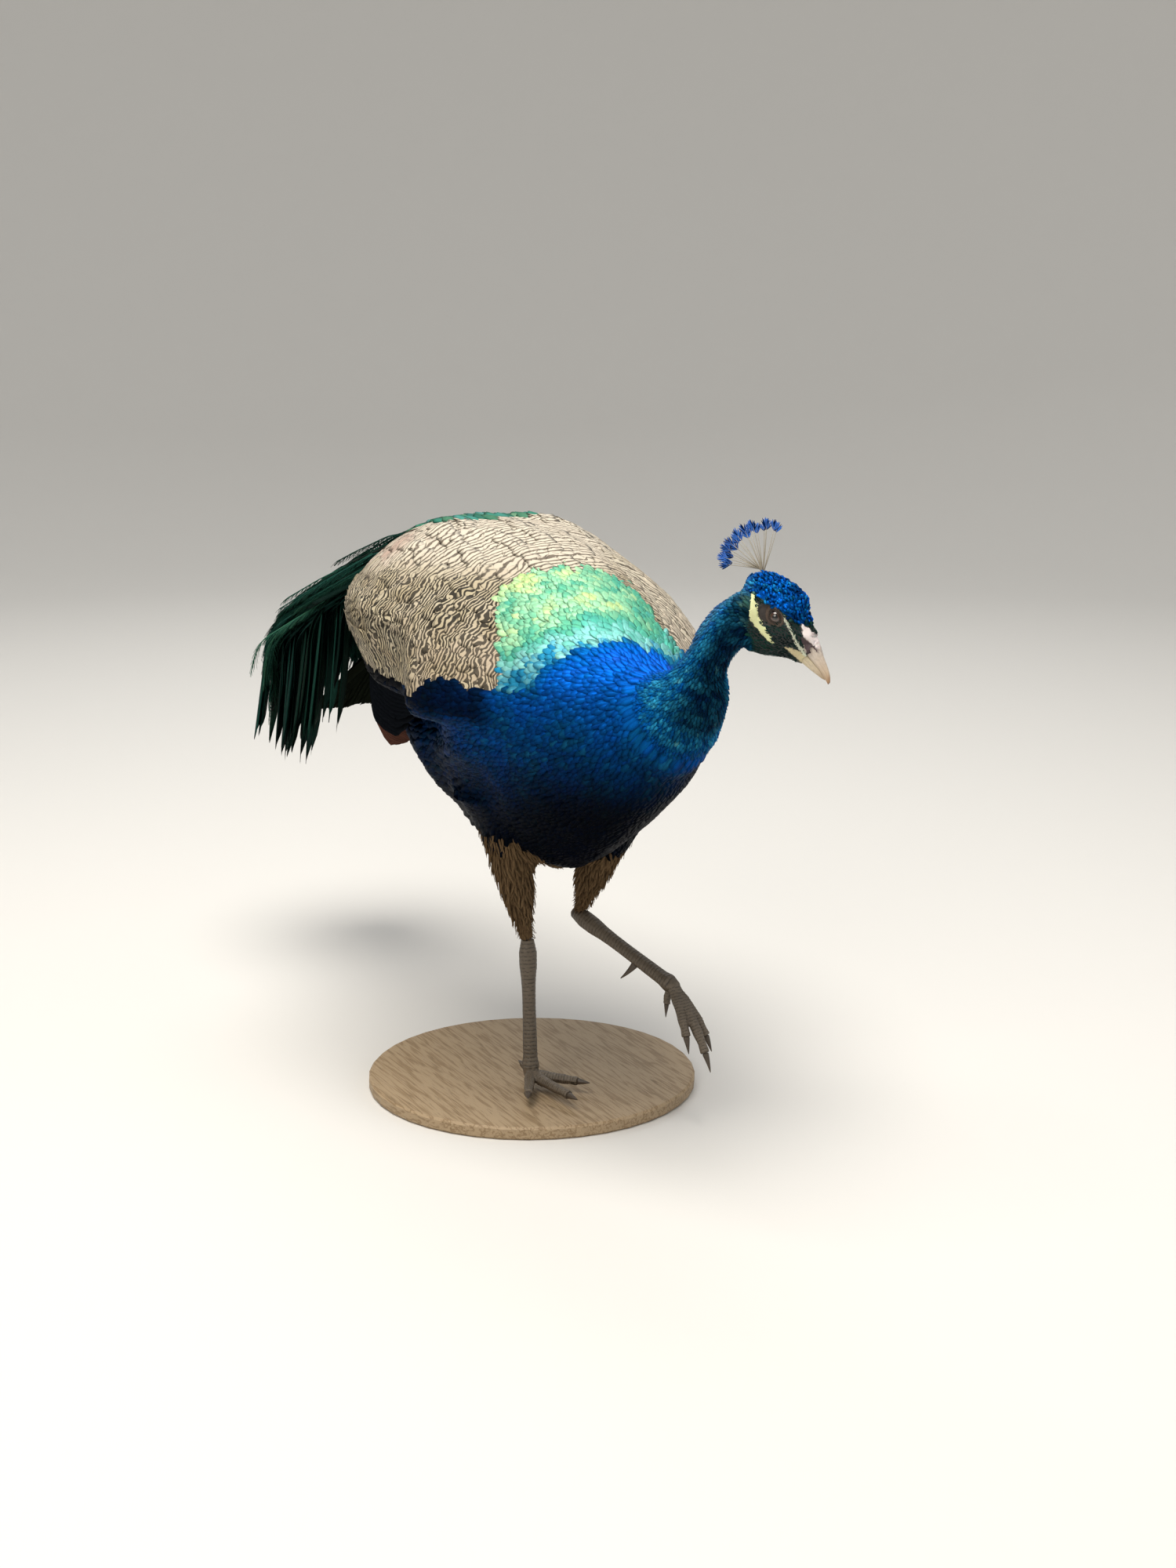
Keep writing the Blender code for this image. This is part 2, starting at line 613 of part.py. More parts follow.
def make_legs(trunk):
    """Feathered thighs, scaled shanks with a spur, and the feet."""
    legs = {
        "right": (RIGHT_KNEE, RIGHT_HEEL, RIGHT_FOOT),
        "left": (LEFT_KNEE, LEFT_HEEL, LEFT_FOOT),
    }
    for name, (knee, heel, foot) in legs.items():
        standing = name == "right"
        knee_at, heel_at, foot_at = at(*knee), at(*heel), at(*foot)
        shank_way = (foot_at - heel_at).normalized()
        make_foot(
            name, foot_at, shank_way, math.radians(4 if standing else 16), 1.0 if standing else 0.6,
            0.0 if standing else math.radians(50), 0.0 if standing else 0.30, 0.0 if standing else None,
        )
        top, end = heel_at - 0.006 * shank_way, foot_at - (0.014 + GAP) * shank_way
        swell = (0.86, 1.24, 1.22, 1.02, 0.93, 0.91, 0.92, 0.95, 0.98, 1.02)
        shank_path = [top + (end - top) * t for t in np.linspace(0, 1, len(swell)).tolist()]
        shank = add_object(
            f"shank_{name}", tube(shank_path, [TARSUS_RADIUS * r for r in swell], 12), "leg_horn"
        )
        # The spur grows from the back of the shank, a third of the way up from the foot.
        root = foot_at + (heel_at - foot_at) * 0.36
        back = Vector((-0.5 if name == "left" else 0.5, 1, 0))
        back = (back - back.dot(shank_way) * shank_way).normalized()
        steps = np.linspace(0, 1, 5).tolist()
        curve = [root + back * (0.003 + SPUR_LENGTH * t) - shank_way * 0.004 * t * t for t in steps]
        spur = add_object(
            f"spur_{name}", tube(curve, [SPUR_RADIUS * (1 - 0.88 * t) for t in steps], 8), "claw_horn"
        )
        trim(spur, [shank])
        shares = (0, 0.30, 0.60, 0.82, 0.96)
        path = [knee_at + (heel_at - knee_at) * t for t in shares]
        radii = np.interp(shares, (0, 0.25, 0.5, 0.78, 1.0), THIGH_RADII[name]).tolist()
        thigh = add_object(f"thigh_{name}", tube(path, radii, 16), "thigh_buff")
        trim(thigh, [shank], trunk)


def make_base():
    """A plain round board under the standing foot, with a small bevel on its edges."""
    bpy.ops.mesh.primitive_cylinder_add(vertices=40, radius=BASE_RADIUS, depth=BASE_THICKNESS - GAP)
    base = bpy.context.active_object
    base.name = "stand_base"
    base.location = (0, 0, (BASE_THICKNESS - GAP) / 2)
    base.data.materials.append(material("base_board"))
    bevel = base.modifiers.new("edge", "BEVEL")
    bevel.width = BASE_EDGE
    bevel.segments = 1
    bevel.limit_method = "ANGLE"
    for collection in list(base.users_collection):
        collection.objects.unlink(base)
    PEACOCK.objects.link(base)


clear_scene()
PEACOCK = new_collection("peacock")
CUTTERS = new_collection("cutters")
BIRD = bpy.data.objects.new("bird", None)
PEACOCK.objects.link(BIRD)
BIRD.location = (-BASE_CENTRE[0], -BASE_CENTRE[1], BASE_THICKNESS)

whole_trunk = make_trunk()
head_piece = make_head()
make_neck(whole_trunk, head_piece)
make_crest(head_piece)
make_tail(whole_trunk, make_wings(whole_trunk))
make_legs(whole_trunk)
make_base()
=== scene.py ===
# Peacock, an Indian peafowl cock in moult, life size and in mid-stride on a plain round base.
import math

import bmesh
import bpy
import numpy as np
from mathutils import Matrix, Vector
from mathutils.bvhtree import BVHTree
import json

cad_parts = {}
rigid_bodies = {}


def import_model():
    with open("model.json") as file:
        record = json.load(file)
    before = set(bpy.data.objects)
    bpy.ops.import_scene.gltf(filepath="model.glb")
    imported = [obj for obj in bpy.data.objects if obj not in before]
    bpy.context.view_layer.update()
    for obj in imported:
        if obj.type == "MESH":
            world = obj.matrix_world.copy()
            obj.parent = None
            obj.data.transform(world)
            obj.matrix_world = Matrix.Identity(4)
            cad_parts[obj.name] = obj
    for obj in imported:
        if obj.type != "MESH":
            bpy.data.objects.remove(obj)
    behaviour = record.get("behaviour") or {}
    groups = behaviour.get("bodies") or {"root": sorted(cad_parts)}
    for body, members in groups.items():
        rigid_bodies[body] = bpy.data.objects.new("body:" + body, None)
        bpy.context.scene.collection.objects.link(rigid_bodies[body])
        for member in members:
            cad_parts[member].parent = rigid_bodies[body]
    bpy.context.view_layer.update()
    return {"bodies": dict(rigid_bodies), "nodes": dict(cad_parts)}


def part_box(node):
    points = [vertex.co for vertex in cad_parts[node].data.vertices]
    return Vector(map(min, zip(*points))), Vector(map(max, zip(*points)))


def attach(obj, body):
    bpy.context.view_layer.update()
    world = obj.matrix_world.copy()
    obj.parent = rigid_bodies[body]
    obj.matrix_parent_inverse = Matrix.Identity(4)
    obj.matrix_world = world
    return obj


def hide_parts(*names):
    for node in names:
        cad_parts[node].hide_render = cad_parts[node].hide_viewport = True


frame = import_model()
scene = bpy.context.scene
body = list(frame["bodies"])[0]  # a still model has one body
print("frame loaded:", body, len(frame["nodes"]), "nodes")

# Small helpers


def linear(hexColour):
    channels = [int(hexColour[i : i + 2], 16) / 255 for i in (1, 3, 5)]
    return tuple(c / 12.92 if c <= 0.04045 else ((c + 0.055) / 1.055) ** 2.4 for c in channels) + (1.0,)


def smooth(low, high, value):
    t = np.clip((np.asarray(value, float) - low) / (high - low), 0, 1)
    return t * t * (3 - 2 * t)


def fades(*steps):
    # The product of smooth steps, each given as low, high and value
    total = 1.0
    for low, high, value in steps:
        total = total * smooth(low, high, value)
    return total


def unit(vectors):
    return vectors / np.maximum(np.linalg.norm(vectors, axis=-1, keepdims=True), 1e-12)


def fetched(items, key, width=1, kind=np.int32):
    values = np.empty(len(items) * width, kind)
    items.foreach_get(key, values)
    return values.reshape(-1, width) if width > 1 else values


def pointsOf(mesh):
    return fetched(mesh.vertices, "co", 3, float)


def edgesOf(mesh):
    return fetched(mesh.edges, "vertices", 2)


def trianglesOf(mesh):
    mesh.calc_loop_triangles()
    return fetched(mesh.loop_triangles, "vertices", 3)


def normalsFrom(points, corners):
    a, b, c = (points[corners[:, i]] for i in range(3))
    face = np.cross(b - a, c - a)
    total = [sum(np.bincount(corners[:, i], column, len(points)) for i in range(3)) for column in face.T]
    return unit(np.stack(total, -1))


def averaged(points, edges, share=0.5, weight=1.0):
    # Moves each point part of the way to the mean of its neighbours
    count = np.maximum(np.bincount(edges.ravel(), minlength=len(points)), 1)
    a, b = edges.T
    total = [
        np.bincount(a, column[b], len(points)) + np.bincount(b, column[a], len(points)) for column in points.T
    ]
    return points + np.asarray(weight) * share * (np.stack(total, -1) / count[:, None] - points)


def meshFrom(name, points, loops, starts):
    mesh = bpy.data.meshes.new(name)
    mesh.vertices.add(len(points))
    mesh.vertices.foreach_set("co", np.asarray(points, np.float32).ravel())
    mesh.loops.add(len(loops))
    mesh.loops.foreach_set("vertex_index", np.asarray(loops, np.int32))
    mesh.polygons.add(len(starts))
    mesh.polygons.foreach_set("loop_start", np.asarray(starts, np.int32))
    mesh.update(calc_edges=True)
    return mesh


def vectorAttribute(mesh, name, values):
    made = mesh.attributes.new(name, "FLOAT_VECTOR", "POINT")
    made.data.foreach_set("vector", np.asarray(values, np.float32).ravel())


def bakeMap(mesh, places):
    # The unwrap that looks are baked on, from a place for each point
    layer = mesh.uv_layers.new(name="OFBake")
    corners = fetched(mesh.loops, "vertex_index")
    layer.uv.foreach_set("vector", np.asarray(places, np.float32)[corners].ravel())


def putPiece(name, mesh, nodes=(), slot=None, materials=()):
    mesh.name = name
    for one in materials:
        mesh.materials.append(one)
    mesh.shade_smooth()
    piece = bpy.data.objects.new(name, mesh)
    scene.collection.objects.link(piece)
    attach(piece, body)
    if nodes:
        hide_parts(*nodes)


def boxCentre(node):
    low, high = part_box(node)
    return (np.array(low) + np.array(high)) / 2


# The bird's own axes: forward, left and height in metres from the sole of its standing foot
bird = {
    "middleX": boxCentre("belly")[0],
    "originY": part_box("belly")[0][1] + 0.048,  # belly and breast part 48 mm ahead of the standing foot
    "soleZ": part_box("foot_right")[0][2],
}


def toBird(points):
    x, y, z = np.moveaxis(np.asarray(points, float), -1, 0)
    return np.stack([bird["originY"] - y, x - bird["middleX"], z - bird["soleZ"]], -1)


def toWorld(places):
    forward, left, height = np.moveaxis(np.asarray(places, float), -1, 0)
    return np.stack([bird["middleX"] + left, bird["originY"] - forward, bird["soleZ"] + height], -1)


# The head's own axes (ahead, side, up) come from the eyes and the tip of the bill
eyes = {"ahead": 0.0010, "side": 0.0142, "up": 0.0035, "radius": 0.0066, "back": 0.0015}
tipReach = (0.0675, -0.0153)  # bill tip from between the eyes: ahead, up
eyeLeft, eyeRight = boxCentre("eye_left"), boxCentre("eye_right")
betweenEyes = (eyeLeft + eyeRight) / 2
billPoints = pointsOf(frame["nodes"]["bill_upper"].data)
billTip = billPoints[np.argmax(np.linalg.norm(billPoints - betweenEyes, axis=1))]
headSide = unit(eyeLeft - eyeRight)
toTip = billTip - betweenEyes
toTip = unit(toTip - (toTip @ headSide) * headSide)
overTip = unit(np.cross(toTip, headSide))
overTip *= np.sign(overTip[2])
dip = math.atan2(-tipReach[1], tipReach[0])
headAhead = math.cos(dip) * toTip + math.sin(dip) * overTip
headUp = math.cos(dip) * overTip - math.sin(dip) * toTip
headAxes = np.stack([headAhead, headSide, headUp])
headMiddle = betweenEyes - headAhead * eyes["ahead"] - headUp * eyes["up"]


def toHead(points):
    return (np.asarray(points, float) - headMiddle) @ headAxes.T


def fromHead(places):
    return np.asarray(places, float) @ headAxes + headMiddle


# Middle line of trunk and neck in the bird's axes, then of the head in its own
trunkLine = [
    (-0.292, 0, 0.438), (-0.215, 0, 0.414), (-0.140, 0, 0.386), (-0.060, 0, 0.362), (0.020, 0, 0.350),
    (0.085, 0.002, 0.350), (0.135, 0.004, 0.356), (0.180, 0.008, 0.364), (0.212, 0.013, 0.386),
    (0.230, 0.018, 0.414), (0.241, 0.026, 0.440), (0.252, 0.036, 0.460),
]
headLine = [(-0.012, 0, 0), (0.020, 0, 0), (0.045, 0, -0.003)]
middleLine = np.vstack([toWorld(trunkLine), fromHead(headLine)])
lineReach = np.concatenate([[0], np.cumsum(np.linalg.norm(np.diff(middleLine, axis=0), axis=1))])
neckFrom, neckTo = lineReach[7] + 0.006, lineReach[11]  # where the neck leaves the trunk and meets the head
legs = {  # forward, left and height of each leg's joints
    "right": {"knee": (-0.002, -0.058, 0.285), "heel": (-0.010, -0.026, 0.129), "foot": (0, -0.0285, 0.013)},
    "left": {"knee": (0.036, 0.036, 0.262), "heel": (-0.034, 0.038, 0.143), "foot": (0.086, 0.070, 0.1045)},
}


def onLine(points, line):
    # How far along the line the nearest point is, that point, the line's way there, and the distance
    steps = np.diff(line, axis=0)
    lengths = np.linalg.norm(steps, axis=1)
    reach = np.concatenate([[0], np.cumsum(lengths)])
    bends = unit(np.vstack([steps[:1], unit(steps[:-1]) + unit(steps[1:]), steps[-1:]]))
    t = np.clip(((points[:, None] - line[:-1]) * steps).sum(-1) / lengths**2, 0, 1)
    feet = line[:-1] + t[..., None] * steps
    gaps = np.linalg.norm(points[:, None] - feet, axis=-1)
    pick, rows = gaps.argmin(1), np.arange(len(points))
    share = t[rows, pick]
    way = unit(bends[pick] * (1 - share)[:, None] + bends[pick + 1] * share[:, None])
    return reach[pick] + share * lengths[pick], feet[rows, pick], way, gaps[rows, pick]


bakeStrips = {"right": 0.02, "left": 0.08, "width": 0.05, "legLength": 0.36}  # the legs' strips on the unwrap


def unwrap(points):
    # Length along the middle line and angle round it: the skin's own unwrap, with a strip for each leg
    along, foot, way, _ = onLine(points, middleLine)
    out = points - foot
    side = unit(np.cross(way, (0, 0, 1.0)))
    over = np.cross(side, way)
    angle = np.arctan2((out * side).sum(-1), (out * over).sum(-1))
    u = 0.14 + 0.82 * along / lineReach[-1]
    v = 0.5 + 0.47 * angle / math.pi
    for name, leg in legs.items():
        far, near, _, gap = onLine(points, toWorld([leg[end] for end in ("knee", "heel", "foot")]))
        onLeg = (toBird(points)[:, 2] < 0.250) & (gap < 0.05)
        turn = np.arctan2((points - near)[:, 0], (points - near)[:, 1])
        u = np.where(onLeg, bakeStrips[name] + bakeStrips["width"] * (turn / math.pi * 0.5 + 0.5), u)
        v = np.where(onLeg, 0.03 + 0.94 * far / bakeStrips["legLength"], v)
    return np.stack([u, v], -1)


# Markings of the head in millimetres of the head's own axes, the same on both sides: ahead, up, half width
faceMarks = {
    "crescent": [
        (-25.4, 2.9, 2.1), (-22.4, 1.0, 3.0), (-18.0, -2.0, 3.3), (-13.4, -6.4, 3.1), (-9.0, -9.4, 3.0),
        (-3.0, -11.0, 2.9), (3.0, -11.6, 2.6), (7.5, -12.2, 2.0), (11.5, -13.4, 0.9),
    ],
    "stripe": [
        (1.8, 9.3, 0.45), (5.0, 8.3, 0.85), (10.0, 6.6, 1.0), (16.0, 4.2, 1.1), (22.0, 1.5, 1.15),
        (28.0, -1.2, 1.2), (34.0, -3.4, 1.1), (40.0, -4.8, 0.8),
    ],
    "billFlesh": [
        (18.5, 13.4, 0.8), (22.0, 11.8, 2.4), (27.0, 10.0, 3.2), (24.5, 6.2, 1.2), (27.0, 10.0, 3.2),
        (32.0, 8.6, 2.8), (37.0, 6.6, 1.6),
    ],
    "nostril": [(27.5, 4.6, 1.5), (32.5, 3.3, 2.9), (37.5, 2.2, 3.1), (42.5, 1.2, 1.7)],
    "gape": [(21.5, -9.6, 0.6), (27.0, -8.2, 2.2), (33.0, -7.3, 3.5), (42.0, -7.0, 4.5)],
}
markEdges = {  # least and greatest distance from the middle, and the edge's wobble, its size and its seed
    "crescent": (5, 99, 0.8, 0.0062, 71), "stripe": (3, 99, 0.28, 0.0050, 72),
    "billFlesh": (-1, 13, 0.7, 0.006, 73), "nostril": (-1, 99, 0, 0.006, 74), "gape": (2, 99, 0, 0.006, 75),
}
crownEdge = [
    (-40, 0.5), (-31, 3.0), (-23, 5.6), (-16, 6.4), (-6.6, 8.0), (1, 9.9), (8.5, 10.9), (15.7, 10.8),
    (20, 13.6), (23, 17.2), (25, 30),
]
bareSkin = {"ahead": -3.6, "up": 1.2, "long": 10.6, "high": 7.6, "tilt": math.radians(10), "depth": 8.0}
offSide = 9.0  # distance given to what lies beside a marking's own part of the head


def read(rows, at, column=1):
    # Reads a column of rows at places along the first
    rows = np.array(rows, float)
    return np.interp(at, rows[:, 0], rows[:, column])


def waver(points, size, seed):
    # A cheap smooth wobble between -1 and 1 with bumps of about the given size
    turn = np.random.default_rng(seed)
    total = 0
    for _ in range(4):
        way = turn.normal(size=3)
        way /= np.linalg.norm(way)
        pace = 2 * math.pi / size
        total = total + np.sin(points @ way * pace * turn.uniform(0.7, 1.5) + turn.uniform(0, 6.3))
    return total / 2.4


def toStroke(ahead, up, rows):
    # Signed distance to a stroke of changing half width, negative inside
    rows = np.array(rows)
    best = np.full(np.shape(ahead), 1e9)
    for a, b in zip(rows, rows[1:]):
        step = b[:2] - a[:2]
        t = np.clip(((ahead - a[0]) * step[0] + (up - a[1]) * step[1]) / (step @ step), 0, 1)
        gap = np.hypot(ahead - a[0] - t * step[0], up - a[1] - t * step[1]) - (a[2] + t * (b[2] - a[2]))
        best = np.minimum(best, gap)
    return best


def face(points):
    # Signed distances in millimetres to each marking of the face, from points near the head
    ahead, side, up = (toHead(points) * 1000).T
    out = np.abs(side)
    marks = {"ahead": ahead, "side": side, "up": up}
    for name, (least, most, wobble, size, seed) in markEdges.items():
        gap = toStroke(ahead, up, faceMarks[name]) + wobble * waver(points, size, seed)
        marks[name] = np.where((out > least) & (out < most), gap, offSide)
    cosine, sine = math.cos(bareSkin["tilt"]), math.sin(bareSkin["tilt"])
    x, y = ahead - bareSkin["ahead"], up - bareSkin["up"]
    oval = np.hypot((x * cosine + y * sine) / bareSkin["long"], (y * cosine - x * sine) / bareSkin["high"])
    marks["bare"] = np.where(out > 5, (oval - 1) * bareSkin["depth"], offSide)
    marks["crown"] = up - read(crownEdge, ahead)
    marks["eye"] = np.hypot(ahead - (eyes["ahead"] - eyes["back"]) * 1000, up - eyes["up"] * 1000)
    return marks


# Tracts of the plumage, and the hue and glow of its structural colour

covertEdge = [  # lower edge of the folded wing's coverts: forward and height
    (-0.300, 0.420), (-0.262, 0.398), (-0.20, 0.372), (-0.10, 0.366), (-0.03, 0.364), (0.022, 0.362),
    (0.032, 0.370), (0.042, 0.381), (0.065, 0.379), (0.088, 0.376), (0.098, 0.378), (0.110, 0.400),
]
mantleFront = [  # left, and how far forward the green reaches before the blue of the neck's base
    (-0.100, 0.088), (-0.087, 0.0955), (-0.072, 0.106), (-0.059, 0.1125), (-0.043, 0.119), (-0.020, 0.128),
    (0.004, 0.135), (0.018, 0.146), (0.024, 0.163), (0.038, 0.158), (0.050, 0.130), (0.070, 0.100),
]
mantleRear = [  # left, and how far back the green begins
    (-0.0890, 0.0980), (-0.0865, 0.0850), (-0.0810, 0.0680), (-0.0715, 0.0450), (-0.0640, 0.0300),
    (-0.0500, 0.0340), (-0.0330, 0.0440), (-0.0100, 0.0500), (0.0194, 0.0550), (0.031, 0.0710),
    (0.044, 0.0790),
]
mantleLeft = [(0.400, 0.0315), (0.424, 0.0370), (0.444, 0.0410), (0.458, 0.0455)]  # height, reach to the left
rootLead = 0.012  # feathers rooted ahead of the blue's edge lie back over it


def blueEdge(left, height):
    side = fades((0.40, 0.385, height), (0.05, 0.08, np.abs(left)))
    return read(mantleFront, left) + rootLead + 0.004 * side


def tracts(points):
    # Which tract of the plumage each point is in
    forward, left, height = toBird(points).T
    along = onLine(points, middleLine)[0]
    ragged = 0.004 * waver(points, 0.022, 3) + 0.003 * waver(points, 0.009, 4)
    leftEdge = read(mantleLeft, height) + 0.5 * ragged
    leftFront = np.minimum(0.047 + 2.0 * np.maximum(0, 0.460 - height), 0.150)
    leftFront = leftFront - 0.9 * np.maximum(0, 0.398 - height)
    barredTo = np.where(left < leftEdge, read(mantleRear, left), leftFront)
    head = along > neckTo + 0.006
    neck = (along > neckFrom + 0.012) & ~head
    trunk = ~head & ~neck
    wing = trunk & (height > read(covertEdge, forward) + 0.5 * ragged)
    wing &= (np.abs(left) > 0.046) & (forward > -0.27)
    ahead = forward > -0.105 + ragged
    onTop = trunk & (height > 0.430 - 0.1 * np.maximum(0, forward)) & ahead
    barred = (wing | onTop) & (forward < barredTo + ragged + 0.006 * wing)
    barred &= (np.abs(left) > 0.034 + ragged) | ahead
    mantle = trunk & ~barred & (forward > 0.0) & (forward < blueEdge(left, height) + 0.5 * ragged)
    mantle &= (height > 0.382) & (left > -0.091) & (left < leftEdge + 0.004)
    thigh = np.zeros(len(points), bool)
    for leg, reach, top in (("right", 0.040, 0.238), ("left", 0.030, 0.232)):
        shin = toWorld([legs[leg][end] for end in ("knee", "heel")])
        thigh |= (onLine(points, shin)[3] < reach) & (height < top)
    rump = trunk & ~barred & ~thigh & (forward < -0.08) & (height > 0.415 + 0.1 * (forward + 0.29))
    trunk = ~(head | neck | barred | mantle | rump | thigh)
    return {
        "head": head, "neck": neck, "barred": barred, "mantle": mantle, "rump": rump, "thigh": thigh,
        "trunk": trunk, "wing": wing,
    }


def toneOf(points):
    # Hue, glow and painted pale sheen of the structural colour; hue runs from violet at 0 over cobalt at 0.2,
    # cyan at 0.5 and teal at 0.7 to yellow-green at 1
    forward, left, height = toBird(points).T
    along, foot, way, _ = onLine(points, middleLine)
    toBlue = blueEdge(left, height) - forward
    wobble, fine = waver(points, 0.035, 11), waver(points, 0.012, 12)
    # Trunk: cobalt round the neck's base, royal blue down the breast, navy and then black below
    hue = 0.21 + 0.03 * wobble + 0.13 * smooth(0.395, 0.345, height)
    hue = hue + 0.14 * fades((-0.010, 0.0, toBlue), (0.37, 0.385, height))
    hue = hue - 0.10 * fades((0.0, 0.03, left), (0.38, 0.41, height))
    low = smooth(0.358, 0.338, height)
    glow = 0.42 * smooth(0.275, 0.385, height) ** 1.4 + 0.58 * smooth(0.375, 0.405, height)
    glow = glow + 0.10 * low * fades((0.235, 0.300, height), (0.05, 0.10, -left))
    glow = glow * (1 - smooth(0.065, -0.015, forward) * (0.90 - 0.55 * low)) * (1 + 0.10 * fine)
    # Painted shade: the left side of the lower breast, turned from the key lamp, is darkened
    glow = glow * (1 - 0.80 * fades((0.005, 0.045, left), (0.40, 0.36, height))) + 0.012
    # Painted shade: the flank just under the folded wing's lower edge is darkened
    shadeUnderWing = fades((0.086, 0.102, np.abs(left)), (0.345, 0.362, height), (0.122, 0.090, forward))
    glow = glow * (1 - 0.88 * shadeUnderWing)
    # Mantle: yellow-green scales, cyan next to the blue and teal at their edge
    mantle = (toBlue > 0) & (height > 0.380) & (forward > 0.0) & (left > -0.093) & (left < 0.070)
    green = 0.88 + 0.07 * wobble + 0.04 * fine - 0.28 * smooth(0.034, 0.008, toBlue)
    green = green - 0.16 * smooth(0.425, 0.385, height) - 0.13 * smooth(0.010, 0.045, left)
    green = green + 0.07 * fades((0.03, 0.0, np.abs(left + 0.05)), (0.44, 0.455, height))
    hue = np.where(mantle, green, hue)
    glow = np.where(mantle, (0.97 + 0.05 * fine) * (0.60 + 0.40 * smooth(0.385, 0.42, height)), glow)
    # Rump: bronze-green scales
    rump = (forward < -0.08) & (height > 0.40)
    hue, glow = np.where(rump, 0.73 + 0.09 * wobble, hue), np.where(rump, 0.36 + 0.09 * fine, glow)
    # Neck: teal-blue sides, blue nape, black-green throat
    neck = smooth(neckFrom - 0.006, neckFrom + 0.022, along)
    over = unit(np.cross(np.cross(way, (0, 0, 1.0)), way))
    out = unit(points - foot)
    # The nape's upper side, where light falls from above, gets a painted grey-blue sheen
    nape = fades((0.35, 0.95, (out * over).sum(-1)), (neckTo - 0.075, neckTo - 0.035, along))
    neckHue = 0.42 + 0.04 * fine - 0.16 * smooth(0.2, 0.8, out[:, 1])
    neckHue = neckHue - 0.14 * smooth(neckFrom + 0.03, neckFrom, along)
    neckGlow = 0.80 * (1 - 0.85 * smooth(0.22, 0.85, -out[:, 1])) + 0.04 * fine
    hue, glow = hue * (1 - neck) + neckHue * neck, glow * (1 - neck) + neckGlow * neck
    # Head: granular blue crown, dull at its lower front, and black-green cheeks and throat
    marks = face(points)
    head = smooth(neckTo - 0.004, neckTo + 0.014, along)
    crown = smooth(-0.6, 0.6, marks["crown"])
    headHue = 0.66 - 0.38 * crown + 0.05 * fine
    dull = fades((0, 18, marks["ahead"]), (21, 9, marks["up"]))
    headGlow = 0.06 + 0.03 * fine + (0.68 - 0.52 * dull) * crown
    paleSheen = 0.55 * nape * smooth(neckTo + 0.012, neckTo - 0.004, along)
    hue, glow = hue * (1 - head) + headHue * head, glow * (1 - head) + headGlow * head
    return np.clip(hue, 0, 1), np.clip(glow, 0, 1), paleSheen


def barring(points):
    # How the barred coverts differ from place to place: disorder of the bars, warmth, and their breadth and
    # paleness, the paleness partly painted top light
    forward, left, height = toBird(points).T
    wobble = waver(points, 0.03, 21)
    # The top of the back and the front of the left wing get broader, browner bars on a paler ground; the
    # paleness is partly painted light from above
    top = np.maximum(smooth(0.440, 0.472, height), 0.75 * fades((0.035, 0.055, left), (-0.03, 0.02, forward)))
    disorder = smooth(-0.17, -0.09, forward) * (1 - 0.8 * top) + 0.08
    shoulder = fades((-0.01, 0.04, forward), (0.425, 0.395, height)) * (np.abs(left) > 0.05)
    patch = fades((-0.085, -0.115, forward), (0.452, 0.470, height), (-0.055, -0.085, left))
    patch = patch * (0.8 + 0.2 * wobble)
    warm = 0.06 + 0.12 * wobble + 0.20 * shoulder + 0.9 * patch
    return [np.clip(value, 0, 1) for value in (disorder, warm, top + 0.8 * patch)]


# Materials


class Wire:
    # A value inside a shader tree: arithmetic with it adds the nodes that work it out
    def __init__(self, socket):
        self.socket = socket
        self.tree = socket.id_data

    def __add__(self, other):
        return maths("ADD", self, other)

    def __sub__(self, other):
        return maths("SUBTRACT", self, other)

    def __rsub__(self, other):
        return maths("SUBTRACT", other, self)

    def __mul__(self, other):
        return maths("MULTIPLY", self, other)

    def __pow__(self, power):
        return maths("POWER", self, power)

    def __abs__(self):
        return maths("ABSOLUTE", self)


def feed(socket, value):
    # A wire is linked, a hex colour made linear, and a number set as it is
    if isinstance(value, Wire):
        socket.id_data.links.new(value.socket, socket)
    else:
        socket.default_value = linear(value) if isinstance(value, str) else value


def addNode(tree, kind, inputs=None, out=0, **settings):
    node = tree.nodes.new("ShaderNode" + kind)
    for name, value in settings.items():
        setattr(node, name, value)
    for key, value in (inputs or {}).items():
        feed(node.inputs[key], value)
    return Wire(node.outputs[out])


def treeOf(values):
    return next(value.tree for value in values if isinstance(value, Wire))


def maths(operation, *values, clamp=False):
    return addNode(treeOf(values), "Math", dict(enumerate(values)), operation=operation, use_clamp=clamp)


def mixed(factor, a, b, kind="MIX"):
    tree, inputs = treeOf((factor, a, b)), {0: factor, 6: a, 7: b}
    return addNode(tree, "Mix", inputs, 2, data_type="RGBA", blend_type=kind)


def rampOf(factor, stops):
    colour = addNode(factor.tree, "ValToRGB", {"Fac": factor}, "Color")
    ramp = colour.socket.node.color_ramp
    while len(ramp.elements) < len(stops):
        ramp.elements.new(0.5)
    for element, (place, value) in zip(ramp.elements, stops):
        element.position = place
        element.color = linear(value) if isinstance(value, str) else (value, value, value, 1)
    return colour


